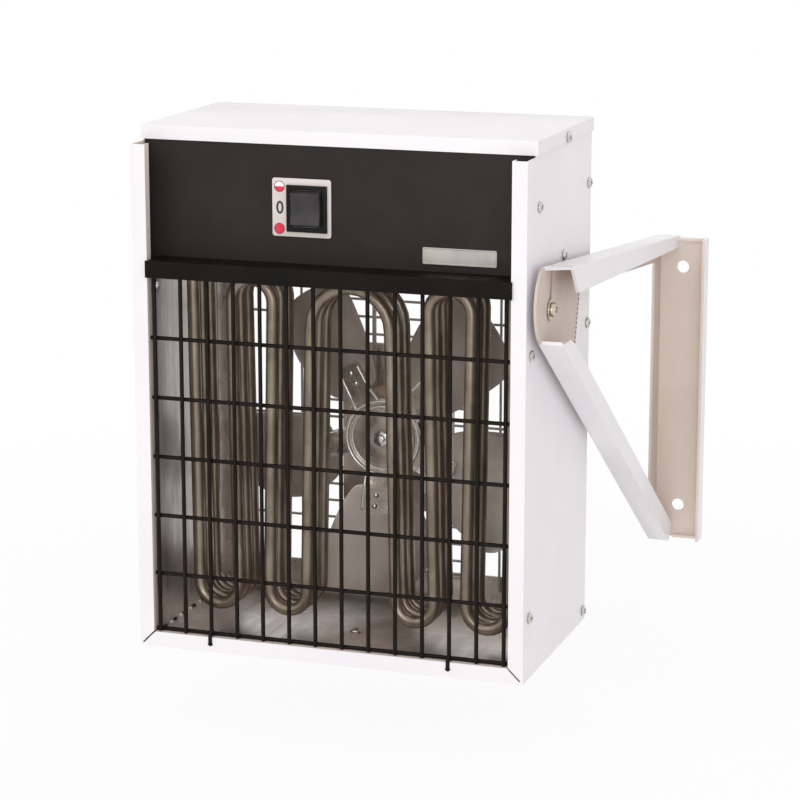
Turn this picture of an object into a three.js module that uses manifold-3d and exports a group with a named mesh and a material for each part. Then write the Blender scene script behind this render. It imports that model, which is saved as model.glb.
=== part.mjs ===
// Wall and ceiling fan heater: a folded sheet casing with a swivel bracket on its right side.
// Sizes are millimetres, +Z is up and the air leaves towards -Y.
// The pieces are drawn in the casing's frame: x = 0 in its middle, y = 0 on the front flanges,
// z = 0 under its floor. The whole model is then moved so that the origin lies on the wall.

import * as THREE from 'three';
import { mergeVertices } from 'three/addons/utils/BufferGeometryUtils.js';
import Module from 'manifold-3d';

const wasm = await Module();
wasm.setup();

// ---------------------------------------------------------------- driving dimensions

const SEAT = 0.3; // between pieces that touch
const RUN = 0.5; // round a piece that turns
const PROUD = 1; // how far a cutting solid runs past what it cuts
const GRID = 1 / 1024; // corners lie on this grid, so that flush faces meet exactly

// Casing sheet, folded into a U
const CASING_WIDTH = 275;
const CASING_DEPTH = 158;
const CASING_HEIGHT = 357.5; // side sheets under the lid
const CASING_SHEET = 1.2;
const FLANGE_WIDTH = 10.4;
const FLANGE_RETURN = 6.8;
const LIP_HEIGHT = 10.5;
const MITRE_SLIT = 0.8;
const SHOULDER_GAP = 1.2; // the front of the side sheets stops this far below the lid's lip

// Lid
const LID_SHEET = 0.8;
const LID_FRONT = 20;
const LID_LIP = 9.4;
const LID_CORNER_SLIT = 0.5;

// Liner, compartment floor, panels
const LINER_SHEET = 0.8;
const LINER_SET_BACK = 1.2; // behind the casing's bent flanges
const COMPARTMENT_HEIGHT = 97.9; // from under its floor to the top of the side sheets
const FLOOR_SHEET = 0.8;
const FLOOR_EAR_HEIGHT = 24;
const FLOOR_EAR_DEPTH = 90; // middle of the ear
const FLOOR_EAR_LENGTH = 40;
const PANEL_SHEET = 1.2;
const PANEL_FLANGE = 15;
const REAR_SHEET = 1.2;
const REAR_FLANGE = 14.3;
const REAR_INSET = 1;
const REAR_SIDE_BORDER = 10;
const REAR_LOWER_BAND = 25;
const REAR_UPPER_BORDER = 7.6; // below the compartment floor
const REAR_SHELF_HEIGHT = 7;
const REAR_SHELF_SHORTER = 5;

// Bar over the grille
const BAR_SHEET = 1.2;
const BAR_HEIGHT = 11.5;
const BAR_RISE = 9.6; // above the compartment floor
const BAR_OVERLAP = 0.9;

// Front grille
const WIRE_DIAMETER = 2.5;
const WIRE_BITE = 0.4; // welded wires sink into each other by this
const GRILLE_COLUMNS = 14;
const GRILLE_EDGE_GAP = 3.73; // from the last column's middle to the casing's flange
const GRILLE_SHEET_GAP = 0.4; // behind the casing's front sheet
const GRILLE_UPPER_DROP = 53.5; // from the bar's top to the first full row
const GRILLE_LOWEST_GAP = 39.5; // between the two lowest rows
const GRILLE_ROWS = 5;
const GRILLE_TOP_DROP = 8; // from the bar's top to the hidden row
const GRILLE_END_DROP = 5.5;
const GRILLE_ANCHOR = 1.4; // how far a wire runs through its hole
const GRILLE_LEG_COLUMNS = [2, 11];
const GRILLE_LEG_END = 5;

// Rear guard
const GUARD_WIRE = 2;
const GUARD_SPACING = 12.5;
const GUARD_LOWEST = 22.5;
const GUARD_TOP_GAP = 6; // least distance under the compartment floor
const GUARD_WIDE_ROWS = [3, 9, 15];
const GUARD_INNER_COLUMN = 60;
const GUARD_OUTER_COLUMN = 75;
const GUARD_COLUMN_LOW = 14;
const GUARD_SIDE_GAP = 4.2; // from a wide row's end to the liner

// Heating elements
const TUBE_DIAMETER = 8.6;
const ELEMENT_COUNT = 3;
const ELEMENT_SPACING = 14.6;
const ELEMENT_FAN_GAP = 22.4;
const ELEMENT_LOW = 20; // lowest point of the tube's centreline
const ELEMENT_SIDE_GAP = 20.7; // from the outer leg's middle to the liner
const OUTER_LEAN = 2; // each leg leans by this between its ends
const SECOND_LEAN = 3;
const THIRD_LEAN = 4;
const INNER_LEAN = 4;
const OUTER_BEND_RADIUS = 14.75;
const INNER_BEND_RADIUS = 13.75;
const SMALL_ARC_RADIUS = 15;
const SMALL_ARC_DROP = 7.6; // from the compartment floor to the middle of the tube
const WIDE_ARC_DROP = 9.6;
const ELEMENT_STEM = 14;
const COLLAR_RADIUS = 6.8;
const COLLAR_HEIGHT = 3;
const STUD_RADIUS = 1.5;
const STUD_LENGTH = 8;

// Fan and motor
const FAN_ABOVE_MIDDLE = 0.35;
const BLADE_COUNT = 5;
const FAN_TURN = 8; // of the lowest blade, clockwise from the front
const BLADE_CLEARANCE = 12;
const BLADE_ROOT = 38;
const BLADE_ROOT_HALF = 10; // from the arm's middle line to either side
const FORWARD_HALF = 38; // from the arm's middle line to the tip's forward corner
const FORWARD_CORNER = 15;
const REAR_HALF = 58;
const REAR_CORNER = 38;
const BLADE_SHEET = 1;
const BLADE_ROOT_ANGLE = 15;
const BLADE_TIP_ANGLE = 30;
const ARM_ROOT = 24;
const ARM_TIP = 56;
const ARM_WIDTH = 20;
const ARM_SHEET = 1.5;
const ARM_GAP = 0.7; // behind a twisted arm, before its blade
const DISC_RADIUS = 28;
const BEAD_RADIUS = 25;
const BEAD_HEIGHT = 1.8;
const HUB_RADIUS = 8;
const HUB_LENGTH = 4;
const SHAFT_RADIUS = 3;
const SHAFT_OVERHANG = 2.5;
const NUT_RADIUS = 6;
const NUT_HEIGHT = 4.5;
const MOTOR_BLADE_GAP = 4; // between the motor's side and the roots of the blades
const MOTOR_LENGTH = 26;
const MOTOR_EDGE = 4;
const MOTOR_BOSS_RADIUS = 12;
const MOTOR_BOSS_LENGTH = 2;
const MOTOR_BORE_DEPTH = 16;
const MOTOR_PLATE_SHEET = 1.5;
const MOTOR_PLATE_HALF_WIDTH = 42;
const MOTOR_PLATE_HALF_HEIGHT = 60.7;
const LEAD_DIAMETER = 3.2;
const LEAD_X = -16;
const LEAD_AHEAD = 5.3; // of the motor's back
const LEAD_RISE = 8;

// Switch
const SWITCH_X = -19.5;
const SWITCH_RISE = 46.8; // above the compartment floor
const PLATE_LEFT_OFFSET = 4.05; // from the switch's middle to its plate's
const PLATE_UP_OFFSET = 0.4;
const PLATE_WIDTH = 41.5;
const PLATE_HEIGHT = 39;
const PLATE_CORNER = 3;
const PLATE_SHEET = 0.8;
const BEZEL_WIDTH = 28.6;
const BEZEL_HEIGHT = 31.3;
const BEZEL_SHEET = 1.8;
const SWITCH_WALL = 1.1;
const SWITCH_BODY_DEPTH = 24;
const SWITCH_BACK_WALL = 4;
const ROCKER_WIDTH = 20.4;
const ROCKER_RADIUS = 12.2;
const ROCKER_FACE = 6.5; // the face's ends stand this far ahead of the pivot
const ROCKER_DISH = 1.5;
const ROCKER_PIVOT_BACK = 2.6; // behind the bezel's front
const ROCKER_HEEL_ANGLE = 65;

// Plain badge plate
const BADGE_X = 86;
const BADGE_RISE = 10.5; // its middle above the bar
const BADGE_WIDTH = 50.6;
const BADGE_HEIGHT = 11;
const BADGE_CORNER = 1;
const BADGE_SHEET = 0.6;

// Parts in the switch compartment
const BLOCK_X = 80;
const BLOCK_AHEAD = 7.2; // in front of the motor's lead
const BLOCK_SIZE = [48, 24, 18];
const BLOCK_SLOTS = 4;
const BLOCK_SLOT_WIDTH = 7;
const BLOCK_SLOT_DEPTH = 6;
const CUTOUT_X = -70;
const CUTOUT_BEHIND = 32; // behind the last heating element
const CUTOUT_RADIUS = 9;
const CUTOUT_HEIGHT = 10;
const CUTOUT_CAP_RADIUS = 5;
const CUTOUT_CAP_HEIGHT = 5;
const GLAND_X = 95;
const GLAND_RISE = 44.6; // above the compartment floor
const GLAND_HEX_RADIUS = 11;
const GLAND_THREAD_RADIUS = 8;
const GLAND_BORE_RADIUS = 4.5;
const GLAND_NOSE = 12;
const GLAND_NUT = 5;

// Screws, and where they pass through the side sheets
const SCREW_HEAD_RADIUS = 3.8;
const SCREW_HEAD_HEIGHT = 2;
const SCREW_RADIUS = 1.9;
const SCREW_LENGTH = 6;
const HEAD_EDGE_SHARE = 0.25; // of the head's height: the upright rim of a domed head
const HEAD_CROWN_SHARE = 0.8;
const HEAD_CROWN_RADIUS_SHARE = 0.7;
const FLOOR_SCREW_X = -4;
const FLOOR_SCREW_DEPTH = 69;
const LID_SCREW_DEPTH = 92;
const PANEL_SCREW_BACK = 6.9; // behind the panel's front
const PANEL_SCREW_RISE = 54.6; // above the compartment floor
const EAR_SCREW_AHEAD = 1.6; // before the ear's middle
const EAR_SCREW_RISE = 13.6;
const LINER_TOP_SCREW_BACK = 3.6; // behind the liner's front
const LINER_TOP_SCREW_DROP = 39.6; // below the compartment floor
const LINER_LOW_SCREW_BACK = 5.3;
const LINER_LOW_SCREW_HEIGHT = 42.4;
const REAR_SCREW_INSET = 6; // before the back of the side sheets
const REAR_TOP_SCREW_RISE = 53.6;
const REAR_MIDDLE_SCREW_DROP = 43.6;
const REAR_LOW_SCREW_HEIGHT = 7;

// Swivel
const PIVOT_Y = 32;
const PIVOT_DROP = 12.1; // below the compartment floor
const BOLT_RADIUS = 2.4;
const BOLT_HEAD_RADIUS = 5;
const BOLT_HEAD_HEIGHT = 3.4;
const BOLT_REACH = 4.2; // inside the liner
const WASHER_RADIUS = 7.5;
const WASHER_SHEET = 1;
const SPACER_RADIUS = 8;
const INSERT_RADIUS = 4.5;
const INSERT_FLANGE_RADIUS = 6.5;
const INSERT_FLANGE = 1.2;

// Bracket, one folded sheet in a plane beside the casing
const BRACKET_GAP = 4.5; // from the casing's side
const BRACKET_SHEET = 2;
const BRACKET_REACH = 316; // from the pivot to the wall
const BRACKET_HEIGHT = 234.9; // along the wall
const ARM_WEB = 16; // the folded webs reach this far out
const WALL_WEB = 38;
const WALL_FLANGE = 14;
const WALL_LIP = 6;
const WALL_TOP_STEP = 1; // from the upper fold down to the wall plate's end
const WALL_HOLE_RADIUS = 4.75;
const WALL_HOLE_SIDES = 16;
const WALL_HOLE_TOP_GAP = 22.7;
const WALL_HOLE_LOW_GAP = 25.2;
const NOSE_AHEAD = 2.4; // of the pivot
const NOSE_ABOVE = 4.5;
const NOSE_RADIUS = 29.3;
const NOSE_UPPER_ANGLE = 119;
const NOSE_LOWER_ANGLE = 236;
const NOSE_STEPS = 12;
const UPPER_ARM_RISE = 0.4; // upper fold at the wall, above the pivot
const LOWER_ARM_FOOT = 16.7; // the lower fold ends this far from the wall
const FRAME_STRIP = 20; // flat strip left round the window
const WINDOW_TOP_REACH = 75.5; // from the pivot to the window's front edge
const WINDOW_LOW_REACH = 61;
const TEETH = 11;
const TOOTH_DEPTH = 1.4;
const TEETH_SHARE = 2 / 3; // of the window's front edge
const UPPER_WEB_AHEAD = 12.6; // the upper web starts this far before the pivot
const UPPER_FLANGE_BEHIND = 4.7;
const UPPER_FLANGE_FRONT = 18.5;
const UPPER_FLANGE_REAR = 9;
const UPPER_FLANGE_RAKE = 16;
const LOWER_FLANGE_HEIGHT = 14.5;
const LOWER_FLANGE_CORNER = 9;
const SLOT_TOP_OFFSET = 7.5;
const RELIEF_BEHIND = 6;
const RELIEF_WIDTH = 5;

// How finely round things are cut
const ROUND_SIDES = 12;
const LARGE_ROUND_SIDES = 20;
const HEX_SIDES = 6;
const WIRE_SIDES = 6;
const SCREW_SIDES = 8;
const TUBE_SIDES = 8;
const BEND_STEPS = 6;
const CORNER_STEPS = 4;
const SMALL_CORNER_STEPS = 2;
const LEAD_BEND_STEPS = 4;
const BLADE_GRID = [10, 5];
const ARM_GRID = [8, 2];

// ---------------------------------------------------------------- places that follow

const SIDE_OUT = CASING_WIDTH / 2;
const SIDE_IN = SIDE_OUT - CASING_SHEET;
const FLANGE_EDGE = SIDE_OUT - FLANGE_WIDTH;
const LID_UNDERSIDE = CASING_HEIGHT + SEAT;
const LID_TOP = LID_UNDERSIDE + LID_SHEET;
const LID_IN = SIDE_OUT + SEAT;
const LID_OUT = LID_IN + LID_SHEET;
const LID_BACK = CASING_DEPTH + SEAT + LID_SHEET;
const LID_LOW = LID_TOP - LID_LIP;
const SHOULDER = LID_LOW - SHOULDER_GAP;
const PANEL_FRONT = LID_FRONT + LID_SHEET + SEAT;
const PANEL_BACK = PANEL_FRONT + PANEL_SHEET;
const LINER_OUT = SIDE_IN - SEAT;
const LINER_IN = LINER_OUT - LINER_SHEET;
const LINER_FLOOR = CASING_SHEET + SEAT;
const LINER_FLOOR_TOP = LINER_FLOOR + LINER_SHEET;
const LINER_FRONT = FLANGE_RETURN + LINER_SET_BACK;
const FLOOR_UNDERSIDE = CASING_HEIGHT - COMPARTMENT_HEIGHT;
const FLOOR_TOP = FLOOR_UNDERSIDE + FLOOR_SHEET;
const FLOOR_EAR_FROM = FLOOR_EAR_DEPTH - FLOOR_EAR_LENGTH / 2;
const FLOOR_EAR_TO = FLOOR_EAR_DEPTH + FLOOR_EAR_LENGTH / 2;
const REAR_BACK = CASING_DEPTH - REAR_INSET;
const REAR_FRONT = REAR_BACK - REAR_SHEET;
const REAR_FLANGE_FRONT = REAR_FRONT - REAR_FLANGE;
const REAR_UPPER_EDGE = FLOOR_UNDERSIDE - REAR_UPPER_BORDER;
const BAR_TOP = FLOOR_TOP + BAR_RISE;

const GRILLE_COLUMN_SPACING = (2 * (FLANGE_EDGE - GRILLE_EDGE_GAP)) / (GRILLE_COLUMNS - 1);
const GRILLE_COLUMN_DEPTH = CASING_SHEET + GRILLE_SHEET_GAP + WIRE_DIAMETER / 2;
const GRILLE_ROW_DEPTH = GRILLE_COLUMN_DEPTH + WIRE_DIAMETER - WIRE_BITE;
const GRILLE_LOWEST = LIP_HEIGHT + SEAT + WIRE_DIAMETER / 2;
const GRILLE_UPPER = BAR_TOP - GRILLE_UPPER_DROP;
const GRILLE_ROW_SPACING = (GRILLE_UPPER - GRILLE_LOWEST - GRILLE_LOWEST_GAP) / (GRILLE_ROWS - 1);

const GUARD_COLUMN_Y = REAR_FRONT - RUN - GUARD_WIRE / 2;
const GUARD_ROW_Y = GUARD_COLUMN_Y - GUARD_WIRE + WIRE_BITE / 2;
const GUARD_ROWS = Math.floor((FLOOR_UNDERSIDE - GUARD_TOP_GAP - GUARD_LOWEST) / GUARD_SPACING) + 1;
const GUARD_WIDE_HALF = LINER_IN - GUARD_SIDE_GAP;

const FAN_HEIGHT = (LINER_FLOOR_TOP + FLOOR_UNDERSIDE) / 2 + FAN_ABOVE_MIDDLE;
const BLADE_TIP = Math.min(LINER_IN, (FLOOR_UNDERSIDE - LINER_FLOOR_TOP) / 2) - BLADE_CLEARANCE;
const MOTOR_RADIUS = BLADE_ROOT - MOTOR_BLADE_GAP;
const MOTOR_PLATE_BACK = GUARD_ROW_Y - GUARD_WIRE / 2 - SEAT;
const MOTOR_BACK = MOTOR_PLATE_BACK - MOTOR_PLATE_SHEET - SEAT;
const MOTOR_FRONT = MOTOR_BACK - MOTOR_LENGTH;
const MOTOR_BOSS_FRONT = MOTOR_FRONT - MOTOR_BOSS_LENGTH;
const DISC_Y = MOTOR_BOSS_FRONT - RUN - HUB_LENGTH; // middle of the spider's sheet
const BLADE_BEHIND_DISC = ARM_SHEET / 2 + ARM_GAP + BLADE_SHEET / 2;
const FAN_DEPTH = DISC_Y + BLADE_BEHIND_DISC;
const SHAFT_FRONT = DISC_Y - ARM_SHEET / 2 - SEAT - NUT_HEIGHT - SHAFT_OVERHANG;
const LEAD_DEPTH = MOTOR_BACK - LEAD_AHEAD;

const OUTER_LEG_TOP = LINER_IN - ELEMENT_SIDE_GAP;
const OUTER_BEND_X = OUTER_LEG_TOP - OUTER_LEAN - OUTER_BEND_RADIUS;
const SMALL_ARC_X = OUTER_BEND_X - OUTER_BEND_RADIUS + SECOND_LEAN - SMALL_ARC_RADIUS;
const INNER_BEND_X = SMALL_ARC_X - SMALL_ARC_RADIUS + THIRD_LEAN - INNER_BEND_RADIUS;
const WIDE_ARC_RADIUS = INNER_BEND_X - INNER_BEND_RADIUS - INNER_LEAN;
const SMALL_ARC_APEX = FLOOR_UNDERSIDE - SMALL_ARC_DROP;
const WIDE_ARC_APEX = FLOOR_UNDERSIDE - WIDE_ARC_DROP;

const SWITCH_Z = FLOOR_TOP + SWITCH_RISE;
const PLATE_X = SWITCH_X - PLATE_LEFT_OFFSET;
const PLATE_Z = SWITCH_Z + PLATE_UP_OFFSET;
const SWITCH_PLATE_BACK = PANEL_FRONT - SEAT;
const SWITCH_PLATE_FRONT = SWITCH_PLATE_BACK - PLATE_SHEET;
const BEZEL_BACK = SWITCH_PLATE_FRONT - SEAT;
const BEZEL_FRONT = BEZEL_BACK - BEZEL_SHEET;
const ROCKER_Y = BEZEL_FRONT + ROCKER_PIVOT_BACK;
const CAVITY_HALF_WIDTH = ROCKER_WIDTH / 2 + SEAT;
const CAVITY_HALF_HEIGHT = ROCKER_RADIUS + SEAT;
const SWITCH_HALF_WIDTH = CAVITY_HALF_WIDTH + SWITCH_WALL;
const SWITCH_HALF_HEIGHT = CAVITY_HALF_HEIGHT + SWITCH_WALL;
const BADGE_Z = BAR_TOP + BADGE_RISE;
const BLOCK_DEPTH = LEAD_DEPTH - BLOCK_AHEAD;
const GLAND_Z = FLOOR_TOP + GLAND_RISE;

const SIDE_SCREWS = {
  // name: [depth, height] on each side sheet
  panel: [PANEL_FRONT + PANEL_SCREW_BACK, FLOOR_TOP + PANEL_SCREW_RISE],
  rear_top: [CASING_DEPTH - REAR_SCREW_INSET, FLOOR_TOP + REAR_TOP_SCREW_RISE],
  floor: [FLOOR_EAR_DEPTH - EAR_SCREW_AHEAD, FLOOR_TOP + EAR_SCREW_RISE],
  liner_top: [LINER_FRONT + LINER_TOP_SCREW_BACK, FLOOR_UNDERSIDE - LINER_TOP_SCREW_DROP],
  rear_middle: [CASING_DEPTH - REAR_SCREW_INSET, FLOOR_UNDERSIDE - REAR_MIDDLE_SCREW_DROP],
  liner_bottom: [LINER_FRONT + LINER_LOW_SCREW_BACK, LINER_LOW_SCREW_HEIGHT],
  rear_bottom: [CASING_DEPTH - REAR_SCREW_INSET, REAR_LOW_SCREW_HEIGHT],
};
const LID_SCREW = [LID_SCREW_DEPTH, LID_UNDERSIDE - LID_LIP / 2 - LID_SHEET];
const SCREW_HOLE = SCREW_RADIUS + SEAT;

const PIVOT_Z = FLOOR_UNDERSIDE - PIVOT_DROP;
const PIVOT = [PIVOT_Y, PIVOT_Z];
const INSERT_HOLE = INSERT_RADIUS + SEAT;
const BOLT_END = LINER_IN - BOLT_REACH;
const BRACKET_IN = SIDE_OUT + BRACKET_GAP;
const BRACKET_OUT = BRACKET_IN + BRACKET_SHEET;
const WASHER_OUT = BRACKET_OUT + SEAT + WASHER_SHEET;
const WEB_OUT = BRACKET_IN + ARM_WEB;
const WALL_OUT = BRACKET_IN + WALL_WEB;
const WALL_PLANE = PIVOT_Y + BRACKET_REACH;
const WALL_FRONT = WALL_PLANE - BRACKET_SHEET;
const UPPER_ARM_END = PIVOT_Z + UPPER_ARM_RISE;
const WALL_HIGH = UPPER_ARM_END - WALL_TOP_STEP;
const WALL_LOW = UPPER_ARM_END - BRACKET_HEIGHT;
const WALL_HOLE_X = BRACKET_IN + WALL_WEB / 2;
const WALL_HOLE_HIGH = WALL_HIGH - WALL_HOLE_TOP_GAP;
const WALL_HOLE_LOW = WALL_LOW + WALL_HOLE_LOW_GAP;
const NOSE_Y = PIVOT_Y - NOSE_AHEAD;
const NOSE_Z = PIVOT_Z + NOSE_ABOVE;
const NOSE_TOP = NOSE_Z + NOSE_RADIUS;
const SLOT_HALF = BOLT_RADIUS + SEAT;
const SLOT_TOP_Y = PIVOT_Y + SLOT_TOP_OFFSET;
const UPPER_WEB_START = PIVOT_Y - UPPER_WEB_AHEAD;
const UPPER_FLANGE_START = PIVOT_Y + UPPER_FLANGE_BEHIND;

// ---------------------------------------------------------------- materials

const paint = (color, roughness, metalness) =>
  new THREE.MeshStandardMaterial({ color, roughness, metalness, flatShading: true });

const WHITE_PAINT = paint(0xe4dfe2, 0.45, 0);
const BEIGE_COAT = paint(0xcdc3b9, 0.5, 0);
const BLACK_PAINT = paint(0x2e2929, 0.6, 0);
const WIRE_PAINT = paint(0x17130f, 0.5, 0.2);
const GALVANISED = paint(0xa9a39c, 0.35, 0.9);
const ELEMENT_METAL = paint(0x4a4038, 0.35, 0.8);
const FAN_METAL = paint(0x7b7069, 0.4, 0.8);
const BRIGHT_METAL = paint(0xc9c5c2, 0.25, 1);
const MOTOR_METAL = paint(0x948a80, 0.45, 0.7);
const PALE_PLASTIC = paint(0xe0dad8, 0.5, 0);
const DARK_PLASTIC = paint(0x1b1a1c, 0.4, 0);
const BADGE_METAL = paint(0xb5ada6, 0.4, 0.6);

// ---------------------------------------------------------------- solids

/** Turns a closed geometry into a solid whose faces point out, with its corners on a fine grid. */
function toSolid(geometry) {
  geometry.deleteAttribute('normal');
  geometry.deleteAttribute('uv');
  const raw = geometry.attributes.position.array;
  raw.forEach((value, i) => {
    raw[i] = Math.round(value / GRID) * GRID;
  });
  const merged = mergeVertices(geometry, GRID / 2);
  const places = merged.attributes.position.array;
  const corners = merged.index.array;
  const triangles = [];
  for (let i = 0; i < corners.length; i += 3) {
    const [a, b, c] = [corners[i], corners[i + 1], corners[i + 2]];
    if (a !== b && b !== c && c !== a) triangles.push([a, b, c]);
  }
  const point = (i) => new THREE.Vector3().fromArray(places, i * 3);
  const volume = triangles.reduce((sum, [a, b, c]) => sum + point(a).cross(point(b)).dot(point(c)), 0);
  const outward = volume < 0 ? triangles.map(([a, b, c]) => [a, c, b]) : triangles;
  return new wasm.Manifold(new wasm.Mesh({
    numProp: 3,
    vertProperties: Float32Array.from(places),
    triVerts: Uint32Array.from(outward.flat()),
  }));
}

/** Turns a solid back into a geometry. */
function toGeometry(solid) {
  const mesh = solid.getMesh();
  const geometry = new THREE.BufferGeometry();
  geometry.setAttribute('position', new THREE.BufferAttribute(mesh.vertProperties, 3));
  geometry.setIndex(new THREE.BufferAttribute(mesh.triVerts, 1));
  geometry.computeVertexNormals();
  return geometry;
}

const join = (...solids) => solids.flat().reduce((whole, solid) => whole.add(solid));
const cut = (solid, ...tools) => tools.flat().reduce((rest, tool) => rest.subtract(tool), solid);

/** A box between two corners. */
function box([x0, y0, z0], [x1, y1, z1]) {
  const geometry = new THREE.BoxGeometry(Math.abs(x1 - x0), y1 - y0, z1 - z0);
  geometry.translate((x0 + x1) / 2, (y0 + y1) / 2, (z0 + z1) / 2);
  return toSolid(geometry);
}

/** A cylinder along an axis, through a place in the plane of the other two axes. */
function cylinder(axis, radius, from, to, [u, v], sides = ROUND_SIDES) {
  const geometry = new THREE.CylinderGeometry(radius, radius, to - from, sides);
  const middle = (from + to) / 2;
  if (axis === 'x') geometry.rotateZ(-Math.PI / 2).translate(middle, u, v);
  if (axis === 'y') geometry.translate(u, middle, v);
  if (axis === 'z') geometry.rotateX(Math.PI / 2).translate(u, v, middle);
  return toSolid(geometry);
}

/** An outline in the plane of two axes, pushed along the third one. */
function prism(axis, outline, from, to) {
  const shape = new THREE.Shape(outline.map(([u, v]) => new THREE.Vector2(u, v)));
  const geometry = new THREE.ExtrudeGeometry(shape, { depth: to - from, bevelEnabled: false });
  const along = {
    x: [[0, 1, 0], [0, 0, 1], [1, 0, 0]],
    y: [[1, 0, 0], [0, 0, 1], [0, -1, 0]],
  }[axis];
  if (along) {
    geometry.applyMatrix4(new THREE.Matrix4().makeBasis(...along.map((v) => new THREE.Vector3(...v))));
  }
  const shift = { x: [from, 0, 0], y: [0, to, 0], z: [0, 0, from] }[axis];
  return toSolid(geometry.translate(...shift));
}

/** A profile of [radius, distance] points turned round the y axis. */
function turned(profile, sides = ROUND_SIDES) {
  return toSolid(new THREE.LatheGeometry(profile.map(([r, y]) => new THREE.Vector2(r, y)), sides));
}

/** A rectangle's outline with round corners. */
function roundedRectangle(u, v, width, height, corner, steps) {
  const points = [];
  const centres = [[1, 1], [-1, 1], [-1, -1], [1, -1]];
  centres.forEach(([su, sv], quarter) => {
    for (let i = 0; i <= steps; i += 1) {
      const angle = ((quarter + i / steps) * Math.PI) / 2;
      const cu = u + su * (width / 2 - corner);
      const cv = v + sv * (height / 2 - corner);
      points.push([cu + corner * Math.cos(angle), cv + corner * Math.sin(angle)]);
    }
  });
  return points;
}

/** Points on an arc in the plane of two axes, with angles in degrees. */
function arc(u, v, radius, fromAngle, toAngle, steps) {
  return Array.from({ length: steps + 1 }, (_, i) => {
    const angle = THREE.MathUtils.degToRad(fromAngle + ((toAngle - fromAngle) * i) / steps);
    return [u + radius * Math.cos(angle), v + radius * Math.sin(angle)];
  });
}

/** A path that stops at each of its own stations, however far apart they are. */
class StationPath extends THREE.Curve {
  constructor(stations) {
    super();
    this.stations = stations;
  }

  getPoint(t, target = new THREE.Vector3()) {
    const place = t * (this.stations.length - 1);
    const index = Math.min(Math.floor(place + 1e-6), this.stations.length - 2);
    return target.lerpVectors(this.stations[index], this.stations[index + 1], place - index);
  }

  getPointAt(u, target) {
    return this.getPoint(u, target);
  }

  getTangentAt(u, target = new THREE.Vector3()) {
    const last = this.stations.length - 1;
    const index = Math.round(u * last);
    const before = this.stations[Math.max(index - 1, 0)];
    const after = this.stations[Math.min(index + 1, last)];
    return target.subVectors(after, before).normalize();
  }
}

/** A round rod or tube's outside along a list of stations. */
function rod(stations, radius, sides) {
  const outline = arc(0, 0, radius, 0, 360 - 360 / sides, sides - 1);
  const shape = new THREE.Shape(outline.map(([u, v]) => new THREE.Vector2(u, v)));
  const extrudePath = new StationPath(stations);
  const steps = stations.length - 1;
  return toSolid(new THREE.ExtrudeGeometry(shape, { steps, extrudePath, bevelEnabled: false }));
}

/** A closed sheet between a front grid and the same grid moved back by its thickness. */
function gridSheet(rows, columns, surface, thickness) {
  const places = [];
  for (const side of [-0.5, 0.5]) {
    for (let i = 0; i <= rows; i += 1) {
      for (let j = 0; j <= columns; j += 1) {
        places.push(...surface(i / rows, j / columns, side * thickness));
      }
    }
  }
  const layer = (rows + 1) * (columns + 1);
  const at = (i, j, side) => side * layer + i * (columns + 1) + j;
  const faces = [];
  const quad = (a, b, c, d) => faces.push(a, b, c, a, c, d);
  for (let i = 0; i < rows; i += 1) {
    for (let j = 0; j < columns; j += 1) {
      quad(at(i, j, 0), at(i, j + 1, 0), at(i + 1, j + 1, 0), at(i + 1, j, 0));
      quad(at(i, j, 1), at(i + 1, j, 1), at(i + 1, j + 1, 1), at(i, j + 1, 1));
    }
    quad(at(i, 0, 0), at(i + 1, 0, 0), at(i + 1, 0, 1), at(i, 0, 1));
    quad(at(i, columns, 0), at(i, columns, 1), at(i + 1, columns, 1), at(i + 1, columns, 0));
  }
  for (let j = 0; j < columns; j += 1) {
    quad(at(0, j, 0), at(0, j, 1), at(0, j + 1, 1), at(0, j + 1, 0));
    quad(at(rows, j, 0), at(rows, j + 1, 0), at(rows, j + 1, 1), at(rows, j, 1));
  }
  const geometry = new THREE.BufferGeometry();
  geometry.setAttribute('position', new THREE.Float32BufferAttribute(places, 3));
  geometry.setIndex(faces);
  return toSolid(geometry);
}

/** The same solid on both sides of the middle. */
const mirrored = (make) => [-1, 1].map((side) => make(side));

/** Holes along x for screws at [depth, height] places, through a wall on either side. */
function sideHoles(places, radius, inner, outer, sides = SCREW_SIDES) {
  return mirrored((side) =>
    places.map((place) => {
      const [from, to] = side > 0 ? [inner, outer] : [-outer, -inner];
      return cylinder('x', radius, from, to, place, sides);
    }),
  ).flat();
}

/** A block on one side of the middle, between two distances from it. */
function sideWall(side, inner, outer, [y0, z0], [y1, z1]) {
  const [from, to] = side > 0 ? [inner, outer] : [-outer, -inner];
  return box([from, y0, z0], [to, y1, z1]);
}

// ---------------------------------------------------------------- casing

/** A U-shaped outline that is open at the top: outer half width, inner half width, and heights. */
function channel(outer, inner, low, web, high) {
  return [
    [-outer, low], [outer, low], [outer, high], [inner, high],
    [inner, web], [-inner, web], [-inner, high], [-outer, high],
  ];
}

function casingWrap() {
  const wrap = prism('y', channel(SIDE_OUT, SIDE_IN, 0, CASING_SHEET, CASING_HEIGHT), 0, CASING_DEPTH);
  const front = channel(SIDE_OUT, FLANGE_EDGE, 0, LIP_HEIGHT, CASING_HEIGHT);
  const flanges = prism('y', front, 0, CASING_SHEET);
  const lipBack = LIP_HEIGHT - CASING_SHEET;
  const bend = channel(FLANGE_EDGE + CASING_SHEET, FLANGE_EDGE, lipBack, LIP_HEIGHT, CASING_HEIGHT);
  const returns = prism('y', bend, 0, FLANGE_RETURN);
  const sheet = join(wrap, flanges, returns);
  return cut(sheet, casingShoulders(), casingMitres(), casingWireHoles(), casingScrewHoles());
}

/** Room in front of the lid, above the front ends of the side sheets. */
function casingShoulders() {
  const half = SIDE_OUT + PROUD;
  return box([-half, -PROUD, SHOULDER], [half, PANEL_FRONT, CASING_HEIGHT + PROUD]);
}

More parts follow.
